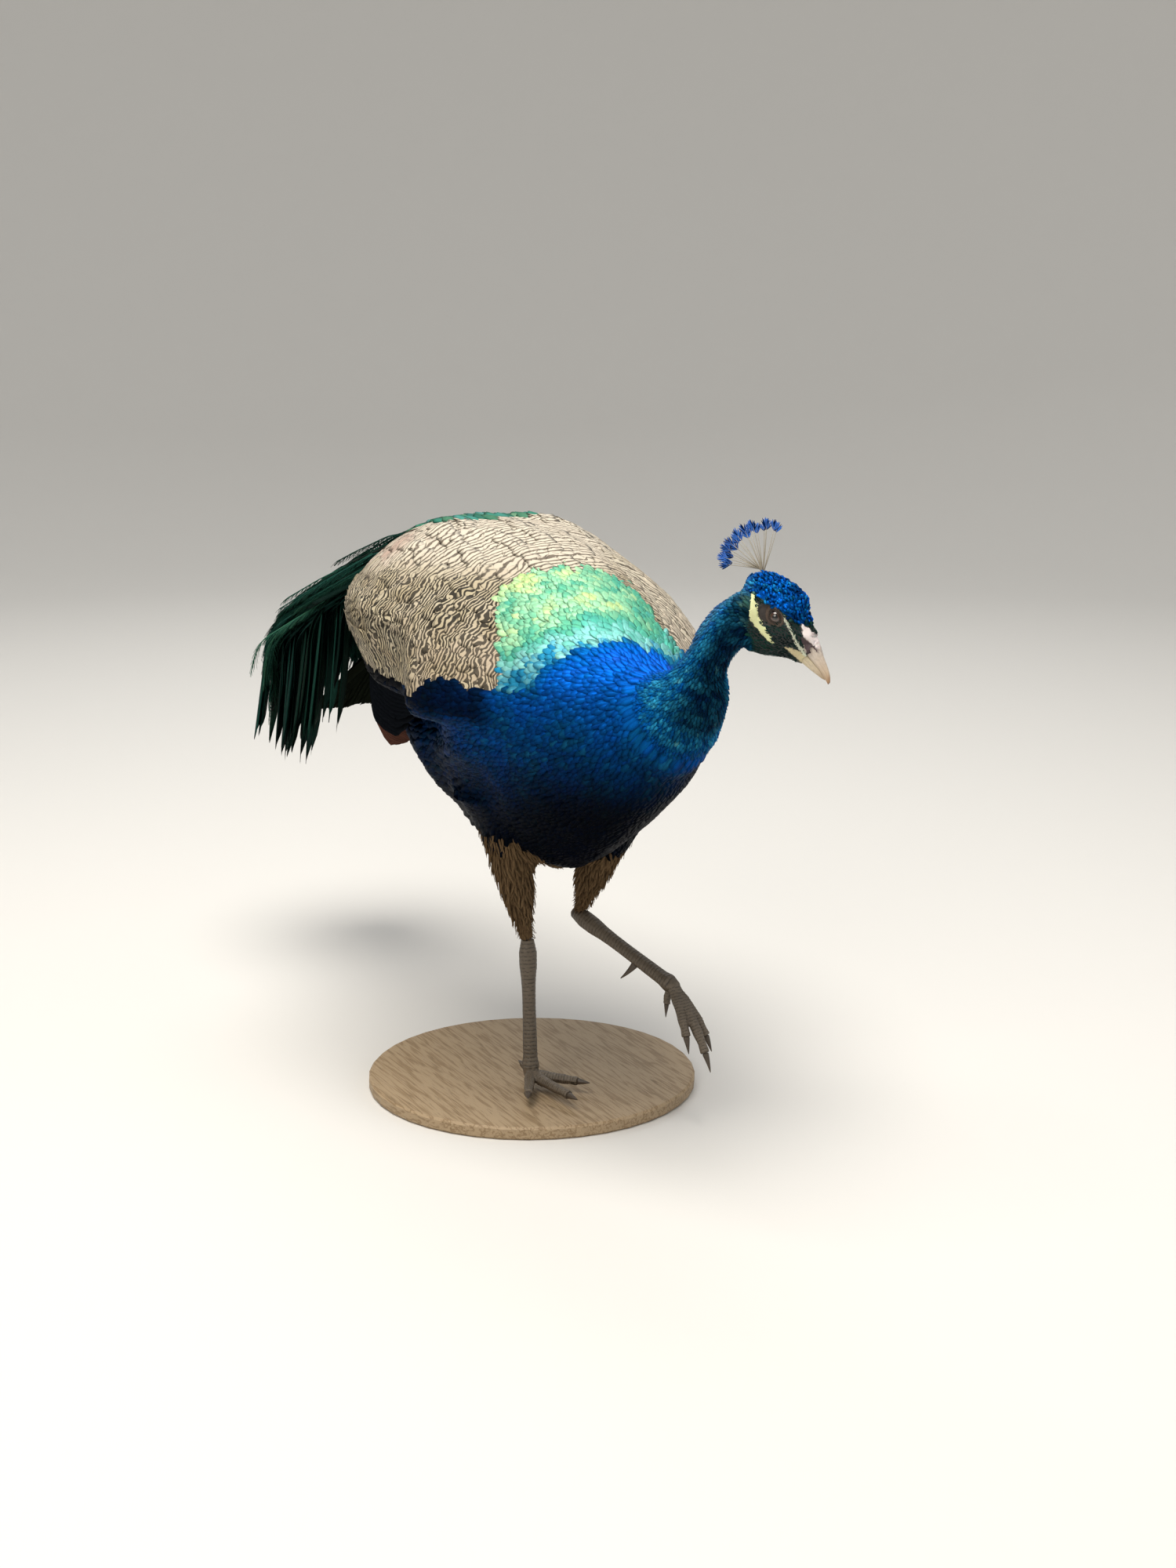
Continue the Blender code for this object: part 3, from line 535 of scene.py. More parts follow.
class Look:
    # A material in the making; lengths in it are millimetres
    def __init__(self, name, settings):
        self.made = bpy.data.materials.new(name)
        self.made.use_nodes = True
        self.tree = self.made.node_tree
        self.shader = self.tree.nodes["Principled BSDF"]
        for socket, value in settings.items():
            feed(self.shader.inputs[socket], value)
        metres = addNode(self.tree, "TexCoord", out="Object")
        self.where = addNode(self.tree, "VectorMath", {"Vector": metres, "Scale": 1000.0}, operation="SCALE")

    def carried(self, name):
        # The three numbers that the mesh carries at each point under this name
        vector = addNode(self.tree, "Attribute", out="Vector", attribute_name=name)
        parted = addNode(self.tree, "SeparateXYZ", {0: vector}).socket.node
        return [Wire(socket) for socket in parted.outputs]

    def noise(self, size, detail=2.0, roughness=0.5, at=None):
        inputs = {"Vector": at or self.where, "Scale": 1.0 / size, "Detail": detail, "Roughness": roughness}
        return addNode(self.tree, "TexNoise", inputs, "Fac")

    def barbs(self):
        # Barbs run out from the shaft at about 40 degrees
        length, side, _ = self.carried("lie")
        return maths("SINE", (length * 0.77 - abs(side) * 0.64) * (2 * math.pi / barbPitch))

    def finished(self, colour, height=None, distance=0.00012, strength=0.5):
        feed(self.shader.inputs["Base Color"], colour)
        if height:
            inputs = {"Strength": strength, "Distance": distance, "Height": height}
            feed(self.shader.inputs["Normal"], addNode(self.tree, "Bump", inputs))
        return self.made


barbPitch = 0.9  # real barbs are near 0.4 mm apart, too fine to show
structural = {
    # Keratin barbules over melanin: violet, cobalt, azure, cyan, teal, green and yellow-green
    "ramp": [
        (0.0, "#4A48D8"), (0.12, "#1878FF"), (0.24, "#0876F2"), (0.38, "#0A6CB4"), (0.50, "#38B0E0"),
        (0.58, "#A2F2EC"), (0.70, "#5CC4B0"), (0.80, "#6CC8A4"), (0.90, "#AEEABC"), (1.0, "#D2EDA2"),
    ],
    "melanin": "#040507",
    "edge": "#2F857C",
    # grey-blue of the painted sheen on the nape's upper side and on the crest's bright barbs
    "paleSheen": "#54779C",
}


def structuralPlumage(name="structural_barbules", scaleEdge=0.0, gloss=0.42, variety=0.20, shade=0.15):
    # Barbules that shine in one hue, a little apart from feather to feather, and darken towards the rim
    tint = (0.2, 0.2, 0.2, 1)
    settings = {"Roughness": gloss, "Metallic": 0.35, "Specular IOR Level": 0.015, "Specular Tint": tint}
    look = Look(name, settings)
    along, across, chance = look.carried("feather")
    hue, glow, paleSheen = look.carried("tone")
    hue = maths("ADD", hue + (look.noise(7.0) - 0.5) * 0.10, (chance - 0.5) * 0.07, clamp=True)
    colour = rampOf(hue, structural["ramp"])
    rim = maths("MAXIMUM", abs(across), along * 1.02) ** 5.0
    if scaleEdge:
        colour = mixed(rim * scaleEdge, colour, structural["edge"])
    lines = look.barbs()
    glow = glow * (lines * 0.10 + 0.90) * (chance * variety + (1 - variety / 2))
    colour = mixed(maths("MULTIPLY", glow, 1.0 - rim * shade, clamp=True), structural["melanin"], colour)
    # the painted pale sheen goes on last
    return look.finished(mixed(paleSheen, colour, structural["paleSheen"]), lines)


barred = {
    "buff": "#AFA284", "pale": "#D0C7B5", "dark": "#181410", "line": "#6A5E50", "warm": "#B8998A",
    "wingPeriod": 4.5, "backPeriod": 6.2,  # millimetres from bar to bar; real wing bars are nearer 3
}


def barredCoverts():
    # Matt vane of a covert: pale buff keratin with dark wavy melanin bars across it
    look = Look("barred_covert_vane", {"Roughness": 0.7, "Specular IOR Level": 0.2})
    disorder, warm, top = look.carried("tone")
    length, chance = look.carried("lie")[0], look.carried("feather")[2]

    def swing(size):
        return look.noise(size, 1.0) - 0.5

    curl = swing(10.0) * 12.0 * disorder
    run = length + swing(34.0) * 24.0 + swing(6.0) * 2.4 + curl + chance * 0.3
    wing, back = (maths("SINE", run * (2 * math.pi / barred[part])) for part in ("wingPeriod", "backPeriod"))
    wave = addNode(look.tree, "Mix", {0: top, 2: wing, 3: back - 0.35})
    wave = wave + (1.0 - top) * 0.28 + swing(3.0) * 0.7
    bars = rampOf((wave + 1.0) * 0.5, [(0.46, 0.0), (0.66, 1.0)])
    broad = rampOf(look.noise(26.0, 1.0), [(0.35, 0.0), (0.65, 1.0)])
    # the top share pales the ground and browns the bars: partly the back's own look, partly painted top light
    tint = mixed(maths("MAXIMUM", broad * 0.35, top), barred["buff"], barred["pale"])
    tint = mixed(warm * 0.75, tint, barred["warm"])
    bar = mixed(top * 0.9, barred["dark"], barred["line"])
    return look.finished(mixed(bars * (0.95 - warm * 0.45), tint, bar), look.barbs(), strength=0.4)


def plainVane(name, tip, base, rough=0.6, speckle=0.25, edge=None):
    # Unbarred vane: one pigment that pales or darkens along the feather, with fine flecks
    look = Look(name, {"Roughness": rough, "Specular IOR Level": 0.0})
    along, across, chance = look.carried("feather")
    fleck = look.noise(3.0, 3.0, 0.6) - 0.5
    lines = look.barbs()
    shade = (chance * 0.4 + 0.78) * (lines * 0.07 + 0.93)
    grey = addNode(look.tree, "CombineXYZ", {axis: shade for axis in "XYZ"})
    colour = mixed(1.0, mixed(along + fleck * (speckle * 2), base, tip), grey, "MULTIPLY")
    if edge:
        colour = mixed(abs(across) ** 4.0 * 0.7, colour, edge)
    return look.finished(colour, lines)


def bareFace(name="bare_facial_skin", ground=("#10181A", "#0A0F12")):
    # Thin bare skin of the face: dark round the eye, a cream crescent, pink flesh at the bill
    look = Look(name, {"Roughness": 0.55, "Subsurface Weight": 0.08, "Subsurface Scale": 0.002})
    crescent, stripe, bare = look.carried("faceA")
    flesh, nostril, gape = look.carried("faceB")
    fray = (look.noise(1.7, 3.0, 0.7) - 0.5) * 5.5
    grain = look.noise(0.55, 4.0, 0.65)
    colour = mixed(look.noise(2.4), *ground)
    for mark, soft, dark, light in (
        (bare, 0.6, "#18110E", "#2E231C"),
        (gape, 0.6, "#A99A72", "#DCD2AA"),
        (flesh, 0.5, "#CDBCB8", "#F2EAE8"),
        (nostril, 0.6, "#33252A", "#584549"),
        (stripe, 0.3, "#A9AF98", "#D9DCC8"),
        (crescent, 0.35, "#C9D08C", "#E9E8BE"),
    ):
        inside = maths("SUBTRACT", 0.5, (mark + fray) * (0.5 / soft), clamp=True)
        colour = mixed(inside, colour, mixed(grain, dark, light))
    return look.finished(colour, grain, 0.0004, 0.7)


def legScale():
    # Horny scales of the shank and toes: grey-brown keratin, flecked paler here and there
    look = Look("leg_scute_keratin", {"Roughness": 0.5, "Specular IOR Level": 0.45})
    broad, dusty, groove = look.carried("tone")
    grain = look.noise(0.8, 3.0, 0.6)
    colour = mixed(look.noise(6.0, 4.0, 0.6), "#3E362B", "#62574A")
    colour = mixed(broad, mixed(grain, colour, "#4A4034"), colour)
    for share, tint in ((grain * 0.35, "#7C7060"), (dusty * 0.5, "#75695A"), (groove * 0.8, "#1C1712")):
        colour = mixed(share, colour, tint)
    return look.finished(colour, grain, 0.0003, 0.6)


def claw():
    # Solid keratin, lightly streaked and worn pale in places
    look = Look("claw_keratin", {"Roughness": 0.4, "Specular IOR Level": 0.4})
    streak = look.noise(1.4, 4.0, 0.6)
    return look.finished(mixed(streak, "#2C2620", "#5E5246"), streak, 0.0002, 0.5)


def billHorn():
    # Solid keratin of the bill: pale horn with lengthwise streaks, tan at the tip, creamier below
    look = Look("bill_keratin", {"Roughness": 0.42, "Specular IOR Level": 0.4, "Coat Weight": 0.08})
    along = look.carried("feather")[0]
    length, side, _ = look.carried("lie")
    spot = addNode(look.tree, "CombineXYZ", {"X": length * 0.10, "Y": side * 0.8})
    streak = look.noise(1.0, 4.0, 0.6, spot)
    upper = [(0.0, "#B5A69C"), (0.35, "#C6BAAD"), (0.72, "#C4AF95"), (0.93, "#A98360"), (1.0, "#7E5E44")]
    lower = [(0.0, "#D6CC9E"), (0.5, "#CDBFA6"), (1.0, "#A88C6C")]
    colour = mixed(look.carried("tone")[2], rampOf(along, upper), rampOf(along, lower))
    worn = rampOf(streak, [(0.45, 0.0), (0.75, 1.0)])
    grime = rampOf(look.noise(3.0, 3.0, 0.6), [(0.5, 0.0), (0.8, 1.0)])
    colour = mixed(grime * 0.35, mixed(worn * 0.45, colour, "#8C7A6A"), "#6E5C4C")
    return look.finished(colour, streak, 0.0002, 0.6)


def wetEye():
    # Living eye: black pupil, dark brown iris with fine rays, wet clear gloss
    gloss = {"Roughness": 0.08, "Specular IOR Level": 0.6, "Coat Weight": 1.0, "Coat Roughness": 0.02}
    look = Look("wet_eye", gloss)
    rays = look.noise(0.5, 3.0, 0.6) - 0.5
    pupilToWhite = [
        (0.0, "#020202"), (0.105, "#020202"), (0.125, "#4A2C18"), (0.17, "#3A2012"), (0.215, "#1A0E08"),
        (0.25, "#0C0807"), (1.0, "#241A16"),
    ]
    return look.finished(rampOf(look.carried("feather")[0] + rays * 0.02, pupilToWhite))


def lidSkin():
    # Bare lids: wrinkled brown-grey skin, almost black at the rim that meets the eye
    soft = {"Subsurface Weight": 0.05, "Subsurface Scale": 0.001}
    look = Look("eyelid_skin", {"Roughness": 0.5, "Specular IOR Level": 0.3, **soft})
    grain = look.noise(0.5, 4.0, 0.65)
    outwards = [(0.0, "#0C0908"), (0.10, "#1C1512"), (0.22, "#3A2F28"), (0.45, "#4C3E35"), (1.0, "#30261F")]
    colour = rampOf(look.carried("rim")[0], outwards)
    return look.finished(mixed(grain * 0.4, colour, "#5E4F44"), grain, 0.0004, 0.8)


def oiledOak():
    # Turned oak board, oiled matt: long pale grain with darker pores drawn along it
    look = Look("oiled_oak", {"Roughness": 0.55, "Specular IOR Level": 0.35})
    stretched = addNode(look.tree, "Mapping", {"Vector": look.where, "Scale": (1.0, 0.06, 1.0)})
    rings = look.noise(9.0, 3.0, 0.55, stretched)
    grain = rampOf(maths("SINE", rings * 38.0), [(0.1, 0.0), (1.0, 1.0)])
    pores = rampOf(look.noise(1.1, 4.0, 0.7, stretched), [(0.55, 0.0), (0.72, 1.0)])
    colour = mixed(pores * 0.55, mixed(grain, "#A89274", "#8D7658"), "#5E4A34")
    return look.finished(colour, pores, -0.0003, 0.6)


finish = {
    "structural": structuralPlumage(),
    "mantle": structuralPlumage("mantle_scale_barbules", 0.07, 0.50, 0.05, 0.08),
    "crown": structuralPlumage("crown_curled_barbules", 0.0, 0.34, 1.1, 0.92),
    "crestFan": structuralPlumage("crest_fan_barbules", 0.0, 0.5, 0.5),
    "barred": barredCoverts(),
    "black": plainVane("flight_vane_black", "#0D0F13", "#07080A", 0.65, 0.25, "#1B1F25"),
    "chestnut": plainVane("primary_vane_chestnut", "#7C5147", "#573A30", 0.6, 0.3, "#33221D"),
    "buff": plainVane("tibial_vane_buff", "#6E5A42", "#4A3A2A", 0.8, 0.4),
    "tail": plainVane("tail_vane_dark", "#12150F", "#090B08", 0.7, 0.3, "#181C16"),
    "shaft": plainVane("crest_shaft_keratin", "#C9C2B2", "#A89E8C", 0.5, 0.1),
    "face": bareFace(),
    "cere": bareFace("cere_skin", ("#C2B6AC", "#A3958A")),
    "scute": legScale(),
    "claw": claw(),
    "bill": billHorn(),
    "eye": wetEye(),
    "lid": lidSkin(),
    "board": oiledOak(),
}
print("materials made")
# One skin for all the flesh: the solids grown together, evened out, and drawn in by the depth of the coat

skinSettings = {
    "voxel": 0.0026, "grown": 0.0007, "wingsGrown": 0.0014, "evening": 14, "filling": 90,
    "headCuts": 2, "headReach": 0.058, "headBack": -0.045, "headEvening": 14,
}
fleshNodes = [
    "rump", "belly", "breast", "neck_lower", "neck_upper", "head", "thigh_left", "thigh_right",
    "wing_left_coverts", "wing_right_coverts",
]
bill = {
    # Rows are ahead, half width, rise, drop and shift up, in metres of the head's axes
    "upper": [
        (0.0240, 0.0080, 0.0102, 0.0030, 0.0), (0.0330, 0.0073, 0.0094, 0.0030, -0.0002),
        (0.0400, 0.0061, 0.0078, 0.0028, -0.0012), (0.0470, 0.0047, 0.0058, 0.0025, -0.0024),
        (0.0540, 0.0032, 0.0039, 0.0023, -0.0038), (0.0595, 0.0019, 0.0024, 0.0022, -0.0056),
        (0.0628, 0.0008, 0.0011, 0.0013, -0.0076),
    ],
    "lower": [
        (0.0200, 0.0078, 0.0016, 0.0076, -0.0026), (0.0300, 0.0067, 0.0016, 0.0074, -0.0034),
        (0.0400, 0.0051, 0.0014, 0.0062, -0.0044), (0.0490, 0.0035, 0.0012, 0.0044, -0.0054),
        (0.0555, 0.0020, 0.0009, 0.0026, -0.0064), (0.0585, 0.0008, 0.0005, 0.0010, -0.0072),
    ],
    "rings": 44, "round": 36, "ridge": 0.35,
}
outline = {
    # Where the living outline stands off the plain solids. Crown and brow rise and fall in millimetres, and a
    # lump of the jaw is its place ahead and up, its length and height, and its move down or up in millimetres
    "crown": 5.2, "brow": 2.2, "jaw": [(0, -25, 11, 10, -4.5), (25, -17, 10, 8, 3.0)],
    # The rest is in metres or shares: neck back under the head, nape's share of it, the wings' lower edges
    # (left, right) and the thigh inwards, and how much the shin thins at the heel
    "neckBack": 0.0068, "nape": 0.35, "wingIn": (0.008, 0.034), "thighIn": 0.012, "heel": 0.26,
}


def gathered(nodes, grown):
    bm = bmesh.new()
    for node in nodes:
        part = bmesh.new()
        part.from_mesh(frame["nodes"][node].data)
        bmesh.ops.remove_doubles(part, verts=part.verts, dist=1e-5)
        bmesh.ops.recalc_face_normals(part, faces=part.faces)
        part.normal_update()
        for vertex, normal in [(v, v.normal.copy()) for v in part.verts]:
            vertex.co += normal * (skinSettings["wingsGrown"] if node.startswith("wing") else grown)
        mesh = bpy.data.meshes.new("part")
        part.to_mesh(mesh)
        bm.from_mesh(mesh)
        part.free()
        bpy.data.meshes.remove(mesh)
    return bm


def remeshed(bm, voxel):
    mesh = bpy.data.meshes.new("gathered")
    bm.to_mesh(mesh)
    bm.free()
    holder = bpy.data.objects.new("holder", mesh)
    scene.collection.objects.link(holder)
    modifier = holder.modifiers.new("together", "REMESH")
    modifier.mode, modifier.voxel_size = "VOXEL", voxel
    made = bpy.data.meshes.new_from_object(holder.evaluated_get(bpy.context.evaluated_depsgraph_get()))
    bpy.data.objects.remove(holder)
    return made


def largestShell(mesh):
    edges = edgesOf(mesh)
    label = np.arange(len(mesh.vertices))
    while True:
        low = np.minimum(label[edges[:, 0]], label[edges[:, 1]])
        fresh = label.copy()
        np.minimum.at(fresh, edges[:, 0], low)
        np.minimum.at(fresh, edges[:, 1], low)
        fresh = fresh[fresh]
        if (fresh == label).all():
            break
        label = fresh
    bm = bmesh.new()
    bm.from_mesh(mesh)
    bm.verts.ensure_lookup_table()
    loose = [bm.verts[i] for i in np.flatnonzero(label != np.bincount(label).argmax())]
    bmesh.ops.delete(bm, geom=loose, context="VERTS")
    bm.verts.index_update()
    return bm


def evened(points, edges, times):
    # Takes out small steps and keeps the volume: each smoothing is followed by nearly as much swelling
    for _ in range(times):
        points = averaged(points, edges, 0.5)
        points = averaged(points, edges, -0.52)
    return points


def spreadOut(values, edges, times, share):
    for _ in range(times):
        values = averaged(values[:, None], edges, share)[:, 0]
    return values


def shapedHead(points, normals):
    # Crown, brow and jaw, and beside the root of the bill the face narrows to the bill's own width
    ahead, side, up = (toHead(points) * 1000).T
    crown = outline["crown"] * fades((0, 13, up), (17, -1, ahead), (-56, -42, ahead))
    crown = crown - outline["brow"] * fades((0, 12, ahead), (29, 23, ahead), (4, 12, up))
    push = normals @ headAxes.T * np.array([1, 0.4, 1]) * crown[:, None]
    for a, u, long, high, move in outline["jaw"]:
        push[:, 2] += move * np.exp(-(((ahead - a) / long) ** 2) - ((up - u) / high) ** 2)
    rows = np.array(bill["upper"]) * 1000
    half, top = (np.interp(ahead, rows[:, 0], column) for column in (rows[:, 1], rows[:, 2] + rows[:, 4]))
    limit = half + 0.9 + 5.5 * smooth(34, 23, ahead)
    narrow = (np.abs(ahead - 34) < 12) & (np.abs(side) < 20)
    push[:, 1] += np.where(narrow, np.sign(side) * np.minimum(limit - np.abs(side), 0), 0)
    push[:, 2] += np.where(narrow & (ahead > 29), np.minimum(top + 0.7 - up, 0), 0)
    near = (np.linalg.norm(points - betweenEyes, axis=1) < 0.09)[:, None]
    return points + near * (push / 1000) @ headAxes


def shapedNeck(points):
    # Nape and throat lie further back under the head
    flat = unit(headAhead * np.array([1, 1, 0]))
    a, z = (points - betweenEyes) @ flat, (points - betweenEyes)[:, 2]
    under = np.clip(-1.254 - 44.8 * a - 27.3 * z, 0, 1.15) * smooth(0, -60, -218 - 1597 * z - 2394 * a)
    front = smooth(-0.012, 0.014, ((points - onLine(points, middleLine)[1]) * flat).sum(-1))
    share = outline["nape"] + (1 - outline["nape"]) * front
    return points - flat * (outline["neckBack"] * under * share)[:, None]


def shapedSides(points):
    forward, left, height = toBird(points).T
    out = np.abs(left)
    # The coverts round in towards their lower edge
    leftWing, rightWing = outline["wingIn"]
    wing = fades((0.432, 0.362, height), (0.03, -0.06, forward), (0.085, 0.125, out), (0.288, 0.333, height))
    # The thigh lies flat against the flank
    flank = fades((0.075, 0.105, out), (0.315, 0.285, height), (0.075, 0.045, forward))
    flank = flank * smooth(-0.085, -0.045, forward)
    thigh = fades((0.165, 0.215, height), (0.275, 0.235, height), (0.05, 0.08, -left)) * (left < -0.05)
    inward = np.where(left < 0, rightWing, leftWing) * wing + outline["thighIn"] * (flank + 0.7 * thigh)
    points = points - np.array([1.0, 0, 0]) * (np.sign(left) * inward)[:, None]
    # The shin thins towards the heel
    for leg in legs.values():
        shin = toWorld([leg["knee"], leg["heel"]])
        along, foot, _, gap = onLine(points, shin)
        toHeel = np.linalg.norm(shin[1] - shin[0]) - along
        thin = outline["heel"] * smooth(0.045, 0.004, toHeel) * (gap < 0.03) * (height < 0.20)
        points = points + (foot - points) * thin[:, None]
    return points


flesh = gathered(fleshNodes, skinSettings["grown"])
for centre in (eyeLeft, eyeRight):  # fills the eye sockets; the lids and eyeballs come later
    ball = bmesh.ops.create_icosphere(flesh, subdivisions=3, radius=eyes["radius"] * 0.93)
    bmesh.ops.translate(flesh, verts=ball["verts"], vec=Vector(centre))
bm = largestShell(remeshed(flesh, skinSettings["voxel"]))
places = np.array([v.co for v in bm.verts]) - headMiddle
inHead = np.linalg.norm(places, axis=1) < skinSettings["headReach"]
inHead &= places @ headAhead > skinSettings["headBack"]
cutEdges = [e for e in bm.edges if inHead[e.verts[0].index] and inHead[e.verts[1].index]]
bmesh.ops.subdivide_edges(bm, edges=cutEdges, cuts=skinSettings["headCuts"], use_grid_fill=True)
skinMesh = bpy.data.meshes.new("skin")
bm.to_mesh(skinMesh)
bm.free()
skinPoints, skinEdges, skinCorners = pointsOf(skinMesh), edgesOf(skinMesh), trianglesOf(skinMesh)
print("skin remeshed:", len(skinPoints), "points")
skinPoints = evened(skinPoints, skinEdges, skinSettings["evening"])
nearHead = (np.linalg.norm(skinPoints - headMiddle, axis=1) < 0.060).astype(float)
nearHead = spreadOut(nearHead, skinEdges, 6, 0.5)
for _ in range(skinSettings["headEvening"]):
    skinPoints = averaged(skinPoints, skinEdges, 0.5, nearHead[:, None])
skinPoints = shapedSides(shapedNeck(shapedHead(skinPoints, normalsFrom(skinPoints, skinCorners))))
# Feathers bridge the creases between wings, trunk and neck, so hollows there fill out to their rims
along = onLine(skinPoints, middleLine)[0]
_, left, height = toBird(skinPoints).T
outer = smooth(0.045, 0.070, np.abs(left))
filling = fades((neckFrom + 0.030, neckFrom, along), (0.0, 0.030, height - 0.255 + 0.035 * outer))
for turn in range(skinSettings["filling"]):
    if turn % 6 == 0:
        outward = normalsFrom(skinPoints, skinCorners)
    moved = averaged(skinPoints, skinEdges, 0.6) - skinPoints
    skinPoints = skinPoints + outward * (np.maximum((moved * outward).sum(-1), 0) * filling)[:, None]
for _ in range(6):
    skinPoints = averaged(skinPoints, skinEdges, 0.5, filling[:, None])

tract = tracts(skinPoints)
marks = face(skinPoints)
coatDepth = {
    "head": 0.0010, "neck": 0.0010, "barred": 0.0030, "mantle": 0.0022, "rump": 0.0028, "thigh": 0.0024,
    "trunk": 0.0022,
}
depth = spreadOut(sum(tract[name] * value for name, value in coatDepth.items()), skinEdges, 8, 0.6)
onHead = tract["head"]
# The markings of the face stand up or lie in: height in metres, and the distances between which it grows
sculpt = {
    "crescent": (0.0006, 0.6, -0.8), "bare": (-0.0007, 1.0, -1.5), "stripe": (0.0005, 0.5, -0.5),
    "billFlesh": (0.0008, 0.8, -1.2), "nostril": (-0.0009, 0.6, -1.0),
}
relief = {name: high * smooth(*reach, marks[name]) for name, (high, *reach) in sculpt.items()}
relief["bare"] = relief["bare"] * smooth(4.5, 7.0, marks["eye"])
crownRim = fades((-22, -10, marks["ahead"]), (16, 6, marks["ahead"])) * (np.abs(marks["side"]) > 8)
relief["crown"] = 0.0012 * np.exp(-(((marks["crown"] - 0.6) / 2.0) ** 2)) * crownRim
lifted = onHead * sum(relief.values()) - depth
skinPoints = skinPoints + normalsFrom(skinPoints, skinCorners) * lifted[:, None]
skinMesh.vertices.foreach_set("co", skinPoints.astype(np.float32).ravel())
skinMesh.update()
skinNormals = normalsFrom(skinPoints, skinCorners)
skinTree = BVHTree.FromPolygons(skinPoints.tolist(), skinCorners.tolist())
print("skin shaped")


# Feathers: closed vanes laid along paths, each with a ridge along its shaft

shapes = {  # place along the feather and half width there, as shares
    "round": [(0, 0.30), (0.2, 0.72), (0.5, 1.0), (0.78, 0.94), (0.93, 0.62), (1, 0.22)],
    "scale": [(0, 0.35), (0.3, 0.85), (0.65, 1.0), (0.88, 0.80), (1, 0.34)],
    "pointed": [(0, 0.35), (0.3, 0.95), (0.6, 0.88), (0.85, 0.46), (1, 0.08)],
    "hair": [(0, 0.7), (0.4, 1.0), (0.75, 0.6), (1, 0.08)],
    "quill": [(0, 0.30), (0.1, 0.75), (0.4, 1.0), (0.8, 0.92), (0.94, 0.6), (1, 0.15)],
    "barb": [(0, 0.7), (0.3, 1.0), (1, 0.12)],
}
bakePatch = 0.003  # side of a feather's patch on the unwrap


def widths(shape, rows, count=1):
    # Half widths at even steps along a number of feathers of one shape
    return read(shapes[shape], np.linspace(0, 1, rows)) * np.ones((count, 1))


def buildVanes(centres, normals, half, form, keys, seed=1, roots=None):
    # centres and normals are feathers x rows x 3 and half is feathers x rows; all go into one mesh
    columns, camber, thickness, ragged = form
    dice = np.random.default_rng(seed)
    count, rows = half.shape
    ways = unit(np.gradient(centres, axis=1))
    sides = unit(np.cross(ways, normals))
    over = unit(np.cross(sides, ways))
    across = np.linspace(-1, 1, columns)
    ring = np.concatenate([across, across[1:-1][::-1]])
    below = np.arange(len(ring)) >= columns
    ridge = np.where(below, 0, 1 - np.abs(ring))
    along = np.linspace(0, 1, rows)
    points = centres[:, :, None] + sides[:, :, None] * (half[:, :, None, None] * ring[:, None])
    drop = -camber * half[:, :, None] * ring**2 - thickness * below + 0.4 * thickness * ridge
    points = points + over[:, :, None] * drop[..., None]
    steps = np.linalg.norm(np.diff(centres, axis=1), axis=-1)
    if ragged:
        slip = dice.uniform(-1, 0.25, (count, 1, columns))
        slip = np.concatenate([slip, slip[:, :, 1:-1][:, :, ::-1]], -1) * along[:, None] ** 3
        points = points + ways[:, :, None] * (slip * ragged * steps.sum(1)[:, None, None])[..., None]
    n = len(ring)
    base = np.arange(rows * n).reshape(rows, n)
    quads = [base[:-1], np.roll(base[:-1], -1, 1), np.roll(base[1:], -1, 1), base[1:]]
    quads = np.stack(quads, -1).reshape(-1, 4)
    caps = np.stack([base[0][::-1], base[-1]])
    first = np.arange(count)[:, None, None] * rows * n
    loops = np.concatenate([(quads[None] + first).ravel(), (caps[None] + first).ravel()])
    sideFaces = count * len(quads)
    starts = np.concatenate([np.arange(sideFaces) * 4, sideFaces * 4 + np.arange(count * 2) * n])
    mesh = meshFrom("vanes", points.reshape(-1, 3), loops, starts)

    def everywhere(values):
        return np.broadcast_to(values, (count, rows, n))

    chance = everywhere(dice.random(count)[:, None, None])
    alongAll, acrossAll = everywhere(along[:, None]), everywhere(ring)
    length = np.concatenate([np.zeros((count, 1)), np.cumsum(steps, 1)], 1) * 1000
    start = keys.get("start", np.zeros(count))[:, None]
    side = ring * half[..., None] * 1000
    lie = [everywhere((start + length)[..., None]), side, everywhere(length[:, -1:, None])]
    tone = [everywhere(keys.get(key, np.zeros(count))[:, None, None]) for key in ("hue", "glow", "mask")]
    for name, parts in (("feather", [alongAll, acrossAll, chance]), ("lie", lie), ("tone", tone)):
        vectorAttribute(mesh, name, np.stack(parts, -1))
    roots = unwrap(centres[:, 0]) if roots is None else roots
    patch = bakePatch * np.stack([alongAll - 0.5, 0.5 * acrossAll], -1)
    bakeMap(mesh, (roots[:, None, None] + patch).reshape(-1, 2))
    return mesh


def joinedMeshes(meshes):
    # Joins feather meshes into one, with what they carry
    sizes = [len(mesh.vertices) for mesh in meshes]
    corners = [fetched(mesh.loops, "vertex_index") for mesh in meshes]
    loops = [corner + sum(sizes[:i]) for i, corner in enumerate(corners)]
    starts = [
        fetched(mesh.polygons, "loop_start") + sum(map(len, corners[:i])) for i, mesh in enumerate(meshes)
    ]
    points = np.concatenate([pointsOf(mesh) for mesh in meshes])
    made = meshFrom("joined", points, np.concatenate(loops), np.concatenate(starts))
    for key in ("feather", "lie", "tone"):
        carried = [fetched(mesh.attributes[key].data, "vector", 3, np.float32) for mesh in meshes]
        vectorAttribute(made, key, np.concatenate(carried))
    places = [fetched(mesh.uv_layers["OFBake"].uv, "vector", 2, np.float32) for mesh in meshes]
    made.uv_layers.new(name="OFBake").uv.foreach_set("vector", np.concatenate(places).ravel())
    return made


